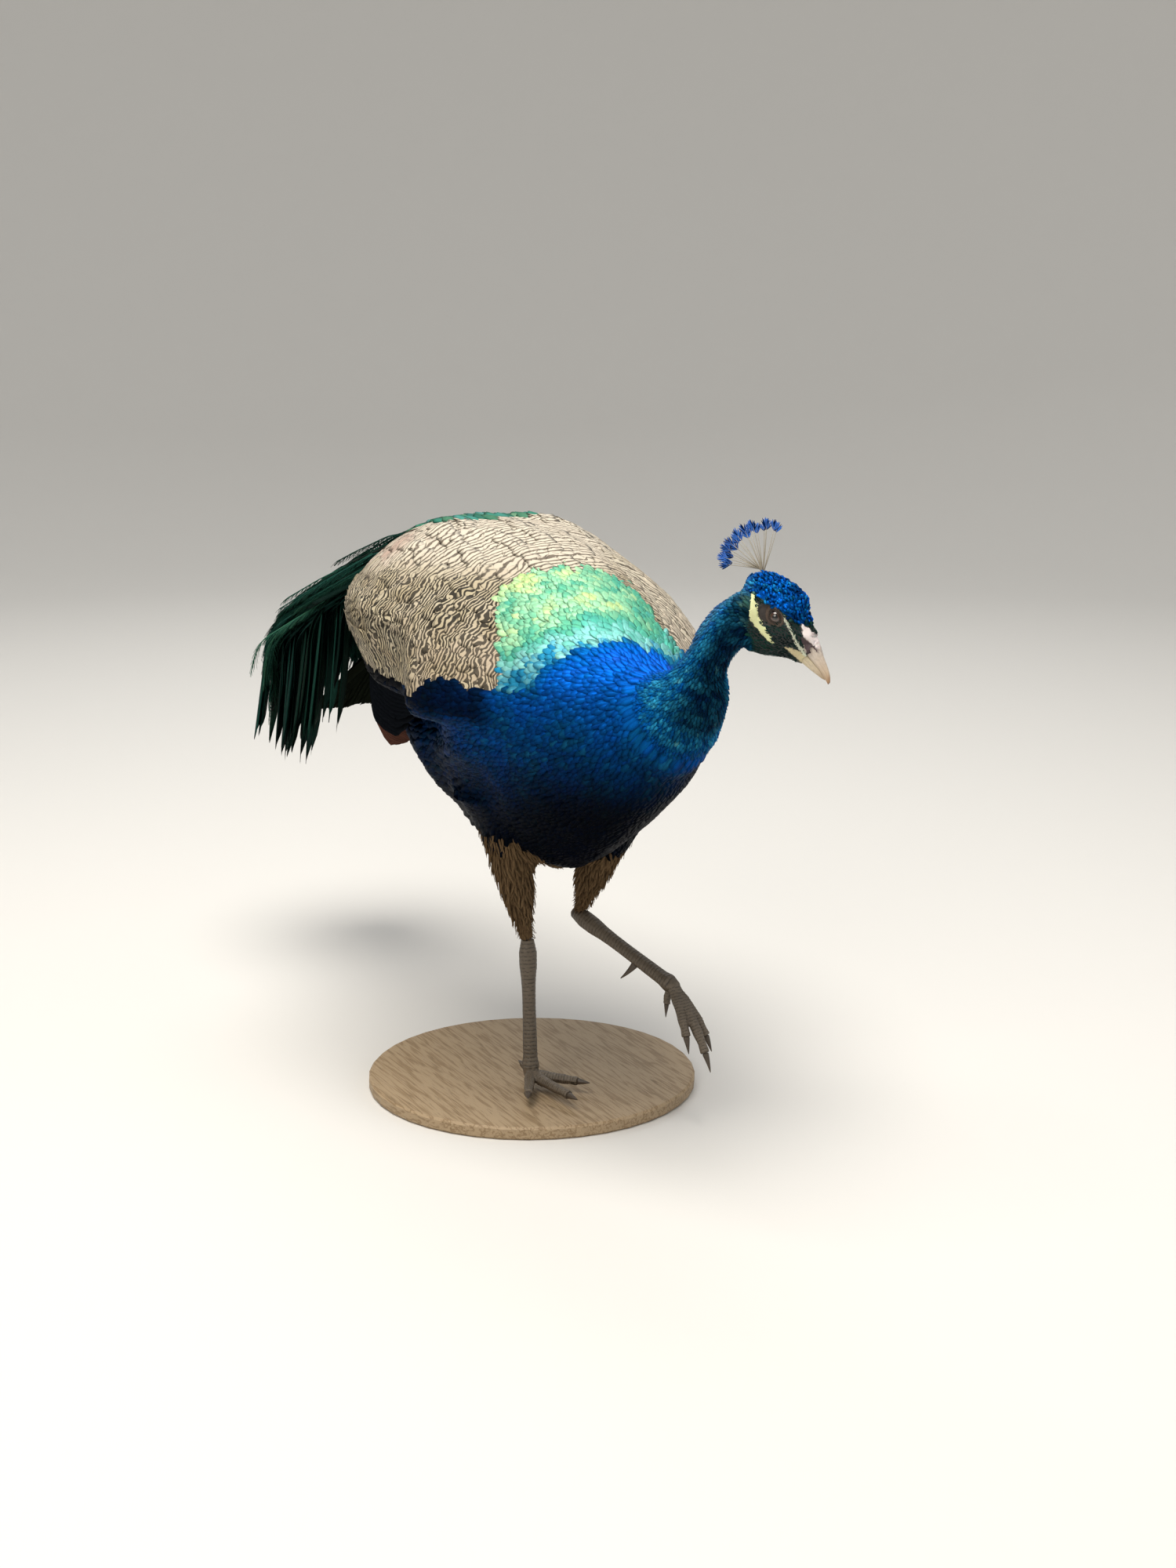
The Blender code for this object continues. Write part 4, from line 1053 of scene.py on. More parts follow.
def scatter(mask, spacing, seed, tries=5, closest=0.86):
    # Evenly spread roots over the skin's masked triangles: points, and the triangle of each
    dice = np.random.default_rng(seed)
    inside = np.flatnonzero(mask[skinCorners].mean(1) > 0.5)
    a, b, c = (skinPoints[skinCorners[inside, i]] for i in range(3))
    area = 0.5 * np.linalg.norm(np.cross(b - a, c - a), axis=1)
    wanted = int(area.sum() / spacing**2 * tries)
    pick = dice.choice(len(inside), wanted, p=area / area.sum())
    u, v = np.sqrt(dice.random(wanted)), dice.random(wanted)
    where = a[pick] * (1 - u)[:, None] + b[pick] * (u * (1 - v))[:, None] + c[pick] * (u * v)[:, None]
    cells = np.floor(where / spacing).astype(int).tolist()
    kept, grid, limit = [], {}, (closest * spacing) ** 2
    around = [(i, j, k) for i in (-1, 0, 1) for j in (-1, 0, 1) for k in (-1, 0, 1)]
    for index, ((x, y, z), (px, py, pz)) in enumerate(zip(cells, where.tolist())):
        others = (other for i, j, k in around for other in grid.get((x + i, y + j, z + k), ()))
        if all((px - qx) ** 2 + (py - qy) ** 2 + (pz - qz) ** 2 >= limit for qx, qy, qz in others):
            grid.setdefault((x, y, z), []).append((px, py, pz))
            kept.append(index)
    return where[kept], inside[pick[kept]]


neckBase = toWorld([0.240, 0.022, 0.415])


def lieOfCoat(points, normals):
    # Feathers lie back over the head, down the neck, fan off its base over the trunk, and run down the thighs
    along, _, neckWay, _ = onLine(points, middleLine)
    fan = unit(points - neckBase)
    back = np.array([0.0, 1.0, -0.12])
    far = smooth(0.10, 0.26, np.linalg.norm(points - neckBase, axis=1))[:, None]
    way = unit(fan * (1 - 0.75 * far) + back * 0.75 * far)
    onNeck = smooth(neckFrom - 0.005, neckFrom + 0.035, along)[:, None]
    way = unit(way * (1 - onNeck) - neckWay * onNeck)
    headShare = smooth(neckTo - 0.010, neckTo + 0.012, along)[:, None]
    way = unit(way * (1 - headShare) - headAhead * headShare)
    height = toBird(points)[:, 2]
    for leg in legs.values():
        _, _, down, gap = onLine(points, toWorld([leg["knee"], leg["heel"]]))
        near = fades((0.055, 0.035, gap), (0.262, 0.232, height))[:, None]
        way = unit(way * (1 - near) + down * near)
    return unit(way - normals * (way * normals).sum(-1, keepdims=True))


vane = {  # what a coat's feathers have unless the coat says otherwise; sizes in metres
    "thickness": 0.0003, "camber": 0.22, "columns": 3, "rows": 4, "shape": "scale", "ragged": 0.0,
    "rough": 0.15, "vary": 0.12, "sink": 0.0008, "hump": 0.0,
}


def layVanes(roots, normals, spec, keys, seed):
    # Lays one feather from each root along the skin
    spec = {**vane, **spec}
    dice = np.random.default_rng(seed)
    count, rows = len(roots), spec["rows"]
    grow = spec.get("grow", 1) * (1 + spec["vary"] * dice.uniform(-1, 1, count))
    length, width = spec["length"] * grow, spec["width"] * grow * (1 + 0.10 * dice.uniform(-1, 1, count))
    ways = lieOfCoat(roots, normals)
    turn = dice.normal(0, spec["splay"], count)[:, None]
    ways = unit(ways * np.cos(turn) + np.cross(normals, ways) * np.sin(turn))
    stations = [(roots, normals)]
    for reach in (0.5, 1.0):
        near = [skinTree.find_nearest(p) for p in (roots + ways * (length * reach)[:, None]).tolist()]
        stations.append((np.array([n[0] for n in near]), np.array([n[1] for n in near])))
    t = np.linspace(0, 1, rows)[:, None]
    q0, q1, q2 = (s[0][:, None] for s in stations)
    base = q0 * (2 * (t - 0.5) * (t - 1)) + q1 * (-4 * t * (t - 1)) + q2 * (2 * t * (t - 0.5))
    n0, n1, n2 = (s[1][:, None] for s in stations)
    over = unit(n0 * np.clip(1 - 2 * t, 0, 1) + n1 * (1 - np.abs(2 * t - 1)) + n2 * np.clip(2 * t - 1, 0, 1))
    rise = spec["rise"] * (1 + spec["rough"] * dice.uniform(-1, 1, count))[:, None, None]
    lift = (rise + spec["sink"]) * t**0.8 - spec["sink"] + spec["hump"] * np.sin(np.pi * t)
    half = 0.5 * width[:, None] * widths(spec["shape"], rows)
    form = [spec[name] for name in ("columns", "camber", "thickness", "ragged")]
    keys = {**keys, "start": -toBird(roots)[:, 0] * 1000}
    return buildVanes(base + over * lift, over, half, form, keys, seed + 1)


def toneKeys(points, seed, hueJitter, glowJitter):
    dice = np.random.default_rng(seed)
    hue, glow, paleSheen = toneOf(points)
    return {
        "hue": np.clip(hue + hueJitter * dice.uniform(-1, 1, len(hue)), 0, 1),
        "glow": np.clip(glow * (1 + glowJitter * dice.uniform(-1, 1, len(hue))), 0, 1),
        "mask": paleSheen * dice.uniform(0.6, 1.1, len(hue)),
    }


forwardSkin, leftSkin, _ = toBird(skinPoints).T
bareOf = {"crescent": 0.5, "stripe": 0.1, "bare": 0, "billFlesh": 0.3, "nostril": 0.3, "gape": 0.3}
bald = np.any([marks[name] < reach for name, reach in bareOf.items()], axis=0) | (marks["ahead"] > 35)
bald |= (marks["eye"] < 6.5) & (np.abs(marks["side"]) > 8)
crownSkin = onHead & (marks["crown"] > 0) & ~bald & (marks["ahead"] > -34)
onWing = tract["barred"] & tract["wing"]
breast = tract["trunk"] & (forwardSkin > 0.02)
flatCovert = {
    "rise": 0.0009, "splay": 0.03, "rows": 6, "columns": 5, "shape": "round", "ragged": 0.05, "camber": 0.05,
    "rough": 0.05,
}
coats = {
    # Where, finish, slot, spacing of the roots, jitter of hue and glow, and the feathers
    "coat_crown": (crownSkin, "crown", "blue_plumage", 0.00225, (0.10, 0.75), {  # curled and bead-like
        "length": 0.0044, "width": 0.0029, "rise": 0.0013, "hump": 0.0015, "camber": 0.75, "splay": 0.8,
        "rows": 6, "columns": 5, "shape": "round", "rough": 0.6}),
    "coat_face": (onHead & ~crownSkin & ~bald, "structural", "blue_plumage", 0.00135, (0.06, 0.40), {
        "length": 0.0036, "width": 0.0013, "rise": 0.0007, "splay": 0.14, "shape": "pointed", "rough": 0.5,
        "thickness": 0.00022}),
    "coat_neck": (tract["neck"], "structural", "blue_plumage", 0.0023, (0.04, 0.30), {
        "length": 0.0072, "width": 0.0038, "rise": 0.0015, "splay": 0.08, "rough": 0.25}),
    "coat_breast": (breast, "structural", "blue_plumage", 0.0038, (0.04, 0.22), {
        "length": 0.0180, "width": 0.0082, "rise": 0.0017, "splay": 0.05, "rows": 5, "rough": 0.12,
        "camber": 0.12}),
    "coat_belly": (tract["trunk"] & ~breast, "structural", "dark_plumage", 0.0054, (0.04, 0.25), {
        "length": 0.0270, "width": 0.0112, "rise": 0.0022, "splay": 0.10, "rows": 5, "shape": "round",
        "rough": 0.20, "camber": 0.15}),
    "coat_mantle": (tract["mantle"], "mantle", "green_plumage", 0.0040, (0.02, 0.04), {
        "length": 0.0185, "width": 0.0084, "rise": 0.0008, "splay": 0.05, "rows": 6, "columns": 5,
        "ragged": 0.12, "camber": 0.04, "rough": 0.05}),
    "coat_rump": (tract["rump"], "mantle", "green_plumage", 0.0085, (0.06, 0.25), {
        "length": 0.0330, "width": 0.0150, "rise": 0.0036, "splay": 0.10, "rows": 6, "columns": 5,
        "ragged": 0.12, "thickness": 0.00035}),
    "coat_back": (tract["barred"] & ~tract["wing"], "barred", "barred_plumage", 0.0082, None, {
        "length": 0.0300, "width": 0.0200, **flatCovert}),
    "coat_thighs": (tract["thigh"], "buff", "buff_plumage", 0.0032, (0.0, 0.2), {
        "length": 0.0150, "width": 0.0034, "rise": 0.0026, "splay": 0.16, "shape": "hair", "rough": 0.5,
        "vary": 0.25}),
}
for name, mask in (("right", leftSkin < 0), ("left", leftSkin > 0)):
    coats[f"coat_wing_{name}"] = (onWing & mask, "barred", "barred_plumage", 0.0092, None, {
        "length": 0.0340, "width": 0.0220, **flatCovert})

for order, (name, (mask, look, slot, spacing, jitter, spec)) in enumerate(coats.items()):
    seed = 100 + 10 * order
    roots, corner = scatter(mask, spacing, seed)
    if look == "barred":
        # Small lesser coverts at the shoulder, longer coverts towards the wing's rear end
        spec["grow"] = np.interp(toBird(roots)[:, 0], [-0.26, -0.10, 0.02, 0.09], [1.25, 1.10, 0.85, 0.62])
        keys = dict(zip(("hue", "glow", "mask"), barring(roots)))
    else:
        keys = toneKeys(roots, seed, *jitter)
    if look == "buff":
        # Tibial feathers shorten towards the heel
        heels = np.stack([toWorld(leg["heel"]) for leg in legs.values()])
        toHeel = np.linalg.norm(roots[:, None] - heels, axis=-1).min(1)
        spec["grow"] = 0.35 + 0.65 * smooth(0.008, 0.050, toHeel)
    mesh = layVanes(roots, unit(skinNormals[skinCorners[corner]].mean(1)), spec, keys, seed)
    putPiece(name, mesh, slot=slot, materials=[finish[look]])
    print(name, len(mesh.vertices), "points")

# The skin carries the same markings in the same finishes
skinLooks = {
    "structural": tract["trunk"] | tract["neck"], "mantle": tract["mantle"] | tract["rump"],
    "barred": tract["barred"], "buff": tract["thigh"], "face": onHead & ~crownSkin, "crown": crownSkin,
}
pick = np.zeros(len(skinPoints), int)
for index, mask in enumerate(skinLooks.values()):
    pick[mask] = index


def carryFace(mesh, marks, nostrilShift=0.0):
    vectorAttribute(mesh, "faceA", np.stack([marks["crescent"], marks["stripe"], marks["bare"]], -1))
    nostril = marks["nostril"] - nostrilShift
    vectorAttribute(mesh, "faceB", np.stack([marks["billFlesh"], nostril, marks["gape"]], -1))


skinHue, skinGlow, skinPaleSheen = toneOf(skinPoints)
skinTone = np.stack([skinHue, skinGlow * 0.6, skinPaleSheen * 0.6], -1)
skinTone = np.where(tract["barred"][:, None], np.stack(barring(skinPoints), -1), skinTone)
vectorAttribute(skinMesh, "feather", np.tile([0.4, 0.3, 0.5], (len(skinPoints), 1)))
vectorAttribute(skinMesh, "lie", np.stack([-forwardSkin * 1000, leftSkin * 1000, 20 + 0 * leftSkin], -1))
vectorAttribute(skinMesh, "tone", skinTone)
carryFace(skinMesh, marks)
bakeMap(skinMesh, unwrap(skinPoints))
firstCorners = fetched(skinMesh.loops, "vertex_index")[fetched(skinMesh.polygons, "loop_start")]
putPiece("skin", skinMesh, fleshNodes, "dark_plumage", [finish[name] for name in skinLooks])
skinMesh.polygons.foreach_set("material_index", pick[firstCorners].astype(np.int32))
skinMesh.update()
print("coat laid")

# Flight feathers of the folded wings, the short loose train and the tail under it


def alongRows(rows, share, width):
    # Reads rows evenly by length at each share; the first columns, as many as width says, are a place
    rows = np.array(rows, float)
    steps = np.linalg.norm(np.diff(rows[:, :width], axis=0), axis=1)
    reach = np.concatenate([[0], np.cumsum(steps)])
    return [np.interp(np.asarray(share) * reach[-1], reach, column) for column in rows.T]


def squareTo(ways, flat):
    # The part of a direction that stands square to the ways
    return unit(flat - ways * (flat * ways).sum(-1, keepdims=True))


flight = {
    # Rows are forward, out, height, half span, half thickness and lean in degrees, as the solids have them
    "secondaries": {
        "rows": [
            (0.010, 0.108, 0.350, 0.014, 0.006, 82), (-0.040, 0.113, 0.346, 0.026, 0.010, 84),
            (-0.100, 0.113, 0.342, 0.034, 0.011, 82), (-0.170, 0.101, 0.347, 0.034, 0.011, 76),
            (-0.230, 0.078, 0.361, 0.028, 0.008, 68), (-0.285, 0.058, 0.374, 0.014, 0.005, 60),
        ],
        "count": 13, "width": 0.030, "look": "black", "slot": "dark_plumage",
    },
    "primaries": {
        "rows": [
            (-0.090, 0.080, 0.306, 0.005, 0.0030, 74), (-0.120, 0.086, 0.298, 0.009, 0.0045, 72),
            (-0.170, 0.086, 0.299, 0.012, 0.0050, 68), (-0.230, 0.074, 0.311, 0.011, 0.0045, 62),
            (-0.285, 0.054, 0.326, 0.006, 0.0030, 58),
        ],
        "count": 9, "width": 0.020, "look": "chestnut", "slot": "chestnut_plumage",
    },
}


def flightFan(side, spec, seed, rows=16):
    dice = np.random.default_rng(seed)
    count = spec["count"]
    rank = np.linspace(0, 1, count)  # 0 is the uppermost feather, which lies outermost
    start = 0.02 + 0.30 * rank + 0.02 * dice.uniform(-1, 1, count)
    end = np.clip(0.80 + 0.20 * (1 - np.abs(2 * rank - 0.9)) + 0.03 * dice.uniform(-1, 1, count), 0, 1)
    share = start[:, None] + (end - start)[:, None] * np.linspace(0, 1, rows)
    forward, out, height, span, thick, lean = alongRows(spec["rows"], share, 3)
    cosine, sine = np.cos(np.radians(lean)), np.sin(np.radians(lean))
    # The span runs up and inwards, and the layers stack along the outward normal
    level = (0.80 - 1.55 * rank)[:, None] * span
    layer = thick * (0.75 - 1.3 * rank)[:, None]
    out = side * (out - level * cosine + layer * sine)
    centres = toWorld(np.stack([forward, out, height + level * sine + layer * cosine], -1))
    normals = np.stack([side * sine, 0 * sine, cosine], -1)
    half = np.minimum(0.5 * spec["width"] * widths("quill", rows, count), span * 0.9)
    return buildVanes(centres, normals, half, (9, 0.10, 0.0006, 0.05), {"glow": np.full(count, 0.2)}, seed)


for side, name in ((-1, "right"), (1, "left")):
    for kind, spec in flight.items():
        fan = flightFan(side, spec, 300 + side)
        node = f"wing_{name}_{kind}"
        putPiece(node + "_vanes", fan, [node], spec["slot"], [finish[spec["look"]]])

train = {
    # Rows are forward, height, half width, half thickness and droop of the sides, as the solids have them
    "rows": [
        (-0.236, 0.460, 0.048, 0.020, 0.016), (-0.290, 0.452, 0.064, 0.021, 0.030),
        (-0.350, 0.433, 0.078, 0.021, 0.044), (-0.415, 0.410, 0.090, 0.020, 0.054),
        (-0.480, 0.384, 0.096, 0.018, 0.058), (-0.535, 0.354, 0.090, 0.015, 0.054),
        (-0.570, 0.322, 0.074, 0.011, 0.044), (-0.590, 0.294, 0.052, 0.007, 0.028),
    ],
    # The vanes and the plumes: how many, stations along each, level in the lobe, first roots and lengths
    "vanes": {"count": 480, "rows": 12, "level": (-0.9, 0.65), "start": (0.0, 0.76), "length": (0.12, 0.205)},
    "plumes": {"count": 170, "rows": 16, "level": (0.2, 1.05), "start": (0.0, 0.78), "length": (0.13, 0.22)},
    # How much sooner the vanes at the sides may hang, and the soonest share: left, right
    "early": 0.50, "soonest": (0.50, 0.28),
}
trainReach = float(np.linalg.norm(np.diff(np.array(train["rows"])[:, :2], axis=0), axis=1).sum())


def lobe(share, across, level):
    forward, height, half, thick, droop = alongRows(train["rows"], share, 2)
    rise = thick * level * np.sqrt(np.clip(1 - across**2, 0, 1)) - droop * across**2
    return np.stack([forward, half * across, height + rise], -1)


def trainPaths(kind, seed, early=0.0, cut=1):
    # Shafts run back over the lobe, and hang where it ends; a second pass shortens what would hang too low
    dice = np.random.default_rng(seed)
    count, rows = train[kind]["count"], train[kind]["rows"]
    first, last = train[kind]["start"]
    share = first + (last - first) * dice.random(count) ** 0.8
    across = dice.uniform(-0.96, 0.96, count)
    level = dice.uniform(*train[kind]["level"], count)
    step = dice.uniform(*train[kind]["length"], count) * cut / (rows - 1)
    limit = 0.96 - 0.30 * across**2 + 0.05 * dice.uniform(-1, 1, count)
    # Some of the side feathers have lost their neighbours and hang early
    limit = limit - early * dice.random(count) ** 0.8 * smooth(0.35, 0.80, np.abs(across))
    left, right = train["soonest"]
    limit = np.maximum(limit, np.where(across < 0, right, left))
    place = lobe(share, across, level)
    centres = [place]
    drift = 0.12 * dice.uniform(-1, 1, count)
    hang = unit(np.stack([-0.12 - 0.2 * drift, 0.10 * across + 0.3 * drift, -np.ones(count)], -1))
    for _ in range(rows - 1):
        before, after = (lobe(np.clip(share + move, 0, 1), across, level) for move in (-0.02, 0.02))
        ahead = unit(after - before + np.array([0, 1, 0]) * (0.02 * drift[:, None]))
        fall = smooth(limit - 0.16, limit + 0.10, share)[:, None]
        place = place + unit(ahead * (1 - fall) + hang * fall) * step[:, None]
        share = share + step / trainReach
        centres.append(place)
    centres = np.stack(centres, 1)
    if np.ndim(cut) == 0:
        lowest = 0.292 + 0.030 * dice.random(count) - 0.04 * (dice.random(count) > 0.97)
        lowest = lowest - 0.040 * np.exp(-(((across + 0.45) / 0.30) ** 2))
        lowest = lowest - 0.14 * early * smooth(0.64, 0.48, limit)
        start, end = centres[:, 0, 2], centres[:, -1, 2]
        # Most of the fall comes late, so the cut is gentler than the overshoot
        over = np.clip((lowest - end) / np.maximum(start - end, 0.02), 0, 0.9)
        return trainPaths(kind, seed, early, 1 - 0.75 * over)
    flat = np.stack([0 * across - 0.25, 0.55 * across, np.ones(count)], -1)[:, None]
    forward, left, up = np.moveaxis(squareTo(unit(np.gradient(centres, axis=1)), flat), -1, 0)
    return toWorld(centres), np.stack([left, -forward, up], -1)


def trainTone(count, seed, glow):
    dice = np.random.default_rng(seed)
    return {"hue": 0.70 + 0.10 * dice.random(count), "glow": glow * (0.3 + 0.9 * dice.random(count) ** 2)}


plumeBarb = {"count": 36, "length": 0.019, "width": 0.0011, "angle": 0.72, "rows": 4}
plumeLength = [(0, 0.5), (0.15, 1.0), (0.55, 1.0), (0.9, 0.75), (1, 0.35)]  # barb's length along the shaft


def plumeBarbs(centres, normals, tone, seed):
    # Loose barbs on both sides of each shaft, one mesh to a side
    dice = np.random.default_rng(seed)
    count, stations = centres.shape[:2]
    many, rows = plumeBarb["count"], plumeBarb["rows"]
    t = np.linspace(0.06, 0.995, many)[None] + dice.uniform(-0.4, 0.4, (count, many)) / many
    t = np.clip(t, 0.02, 1.0)
    index = np.clip(t * (stations - 1), 0, stations - 1.001)
    low = index.astype(int)
    blend = (index - low)[..., None]
    shaft = np.arange(count)[:, None]
    root, over = (v[shaft, low] * (1 - blend) + v[shaft, low + 1] * blend for v in (centres, normals))
    over = unit(over)
    way = unit(centres[shaft, low + 1] - centres[shaft, low])
    side = unit(np.cross(way, over))
    steps = np.linspace(0, 1, rows)[:, None]
    half = widths("barb", rows, count * many) * plumeBarb["width"] / 2
    keys = {name: np.repeat(values, many) for name, values in tone.items()}
    roots = np.repeat(unwrap(centres[:, 0]), many, axis=0)
    for hand in (-1, 1):
        lean = (plumeBarb["angle"] * (1 - 0.55 * t) + dice.normal(0, 0.10, t.shape))[..., None]
        out = unit(way * np.cos(lean) + hand * side * np.sin(lean))
        reach = plumeBarb["length"] * read(plumeLength, t) * dice.uniform(0.75, 1.1, t.shape)
        reach = reach[..., None]
        bend = (way * 0.28 - over * 0.18 + np.array([0, 0, -0.12])) * reach
        path = root[..., None, :] + (out * reach)[..., None, :] * steps + bend[..., None, :] * steps**2
        overs = np.broadcast_to(over[..., None, :], path.shape)
        path, overs = path.reshape(-1, rows, 3), overs.reshape(-1, rows, 3)
        yield buildVanes(path, overs, half, (3, 0.1, 0.00025, 0), keys, seed + hand, roots)


centres, normals = trainPaths("vanes", 401, train["early"])
count, rows = centres.shape[:2]
tone = trainTone(count, 402, 0.10)
half = 0.012 * widths("quill", rows, count)
covering = buildVanes(centres, normals, half, (7, 0.35, 0.0004, 0.10), tone, 403)
centres, normals = trainPaths("plumes", 411)
count, rows = centres.shape[:2]
tone = trainTone(count, 412, 0.30)
taper = np.linspace(0.0009, 0.0003, rows) * np.ones((count, 1))
shafts = buildVanes(centres, normals, taper, (3, 0.2, 0.0008, 0), tone, 413)
looseVane = [finish["structural"]]
putPiece("train_vanes", joinedMeshes([covering, shafts]), ["train"], "green_plumage", looseVane)
for name, mesh in zip(("train_barbs_a", "train_barbs_b"), plumeBarbs(centres, normals, tone, 421)):
    putPiece(name, mesh, (), "green_plumage", looseVane)

tailFan = {
    # Rows are forward, height, half width and half thickness, as the solid has them
    "rows": [
        (-0.262, 0.402, 0.034, 0.012), (-0.330, 0.364, 0.050, 0.011), (-0.400, 0.327, 0.054, 0.009),
        (-0.460, 0.293, 0.052, 0.007), (-0.510, 0.263, 0.042, 0.005), (-0.540, 0.243, 0.024, 0.003),
    ],
    "count": 18, "stations": 18, "width": 0.034,
}
count, rows = tailFan["count"], tailFan["stations"]
rank = np.linspace(-1, 1, count)[:, None]
share = np.linspace(0, 1, rows) * (1 - 0.10 * rank**2)
forward, height, half, thick = alongRows(tailFan["rows"], share, 2)
spread = 0.75 * rank * np.minimum(half, 0.05) * (0.35 + 0.75 * share)
height = height + thick * (0.7 - 1.4 * np.abs(rank)) - 6 * spread**2
centres = toWorld(np.stack([forward, spread, height], -1))
flat = np.stack([0.25 * rank, 0 * rank, 0 * rank + 1], -1)
normals = squareTo(unit(np.gradient(centres, axis=1)), flat)
half = 0.5 * tailFan["width"] * widths("quill", rows, count)
fan = buildVanes(centres, normals, half, (9, 0.12, 0.0006, 0.05), {"glow": np.full(count, 0.3)}, 431)
putPiece("tail_quills", fan, ["tail"], "tail_plumage", [finish["tail"]])
print("wings, train and tail feathered")

# The head's own pieces: bill, cere, eyeballs, lids and crest


def smoothRows(rows, count):
    # Evens rows out along a smooth curve through them
    rows = np.array(rows, float)
    at = np.linspace(0, len(rows) - 1, count)
    low = np.clip(at.astype(int), 0, len(rows) - 2)
    t = (at - low)[:, None]
    before, after = rows[np.maximum(low - 1, 0)], rows[np.minimum(low + 2, len(rows) - 1)]
    a, b = rows[low], rows[low + 1]
    bend = (2 * before - 5 * a + 4 * b - after) * t**2 + (3 * a - before - 3 * b + after) * t**3
    return 0.5 * (2 * a + (b - before) * t + bend)


def ringMesh(name, rings, tone=(0.0, 0.0, 0.0), closed=False):
    # A closed tube through rings of points, or a closed hoop of them
    count, n = rings.shape[:2]
    base = np.arange(count * n).reshape(count, n)
    lower, upper = (base, np.roll(base, -1, 0)) if closed else (base[:-1], base[1:])
    quads = np.stack([lower, np.roll(lower, -1, 1), np.roll(upper, -1, 1), upper], -1).reshape(-1, 4)
    loops, starts = quads.ravel(), np.arange(len(quads)) * 4
    if not closed:
        loops = np.concatenate([loops, base[0][::-1], base[-1]])
        starts = np.concatenate([starts, [len(quads) * 4, len(quads) * 4 + n]])
    points = rings.reshape(-1, 3)
    mesh = meshFrom(name, points, loops, starts)
    a, b, c = (points[trianglesOf(mesh)[:, i]] - points.mean(0) for i in range(3))
    if (a * np.cross(b, c)).sum() < 0:
        mesh.flip_normals()
    share, turn = np.meshgrid(np.linspace(0, 1, count), np.linspace(0, 1, n), indexing="ij")
    middle = rings.mean(1, keepdims=True)
    reach = np.concatenate([[0], np.cumsum(np.linalg.norm(np.diff(middle[:, 0], axis=0), axis=1))]) * 1000
    around = np.linalg.norm(rings - middle, axis=-1) * (2 * turn - 1) * 3000
    vectorAttribute(mesh, "feather", np.stack([share, 2 * turn - 1, 0.5 + 0 * share], -1))
    vectorAttribute(mesh, "lie", np.stack([reach[:, None] + 0 * around, around, 0 * around], -1))
    vectorAttribute(mesh, "tone", np.tile(np.array(tone, float), (count * n, 1)))
    bakeMap(mesh, np.stack([turn, share], -1).reshape(-1, 2))
    return mesh


def billRings(rows, ridged):
    ahead, half, rise, drop, shift = smoothRows(rows, bill["rings"]).T[:, :, None]
    turn = np.linspace(0, 2 * math.pi, bill["round"], endpoint=False)
    c, s = np.cos(turn), np.sin(turn)
    # The culmen is a soft ridge above, and the cutting edges stand out at the sides
    top = np.abs(s) ** 0.9 * (1 + bill["ridge"] * 0.12 * np.exp(-(((turn - math.pi / 2) / 0.25) ** 2)))
    side = np.sign(c) * np.abs(c) ** np.where((s > 0) == ridged, 0.95, 0.6)
    lip = 0.0003 * np.exp(-(((s + (0.12 if ridged else -0.12)) / 0.16) ** 2))
    up = shift + np.where(s > 0, rise * top, -drop * np.abs(s) ** 0.8)
    return fromHead(np.stack([ahead + 0 * side, (half + lip) * side, up], -1))


for part, ridged in (("upper", True), ("lower", False)):
    name = f"bill_horn_{part}"
    mesh = ringMesh(name, billRings(bill[part], ridged), tone=(0, 0, 0 if ridged else 1))
    putPiece(name, mesh, [f"bill_{part}"], "bill_horn", [finish["bill"]])

# Cere: soft lumpy skin over the root of the bill, with the nostril in it
cere = {
    "from": 0.0250, "to": 0.0470, "rings": 48, "round": 72, "thick": 0.00085, "under": 0.0011,
    "lumps": 0.00030, "flesh": 0.0006,  # how far the lumps and the pink flesh stand up
    "nostril": (0.0360, 0.0030), "nostrilSize": (0.0034, 0.0011), "nostrilDepth": 0.0012,  # ahead, up
}
at = np.linspace(cere["from"], cere["to"], cere["rings"])[:, None]
half, rise, shift = (read(bill["upper"], at, column) for column in (1, 2, 4))
turn = np.linspace(-0.12, math.pi + 0.12, cere["round"])
cosine, sine = np.cos(turn), np.sin(turn)
share = np.linspace(0, 1, cere["rings"])[:, None]
# The front edge runs back from the culmen to the nostril
edge = 1 - 0.25 * np.abs(cosine) ** 3 + 0.04 * np.sin(turn * 9)
ahead = cere["from"] + (cere["to"] - cere["from"]) * share * edge
thick = cere["thick"] * (1.0 + 0.6 * (1 - share) - share**5 * 2.2)
side, up = (half + thick) * cosine, shift + (rise + thick) * sine
places = fromHead(np.stack([ahead, side, up], -1)).reshape(-1, 3)
lumps = waver(places, 0.0028, 31).reshape(side.shape) * cere["lumps"] * (1 - share**4)
lumps = lumps + cere["flesh"] * smooth(0.8, -1.2, face(places)["billFlesh"]).reshape(side.shape)
offs = [(v - middle) / size for v, middle, size in zip((ahead, up), cere["nostril"], cere["nostrilSize"])]
pit = cere["nostrilDepth"] * np.exp(-(offs[0] ** 2) - offs[1] ** 2)
outer = fromHead(np.stack([ahead, side + (lumps - pit) * cosine, up + (lumps - 0.3 * pit) * sine], -1))
inner = fromHead(np.stack([ahead, side - cere["under"] * cosine, up - cere["under"] * sine], -1))
mesh = ringMesh("cere", np.concatenate([outer, inner[:, ::-1]], 1))
carryFace(mesh, face(pointsOf(mesh)), 0.3)
putPiece("cere", mesh, (), "bill_horn", [finish["cere"]])
print("bill made")

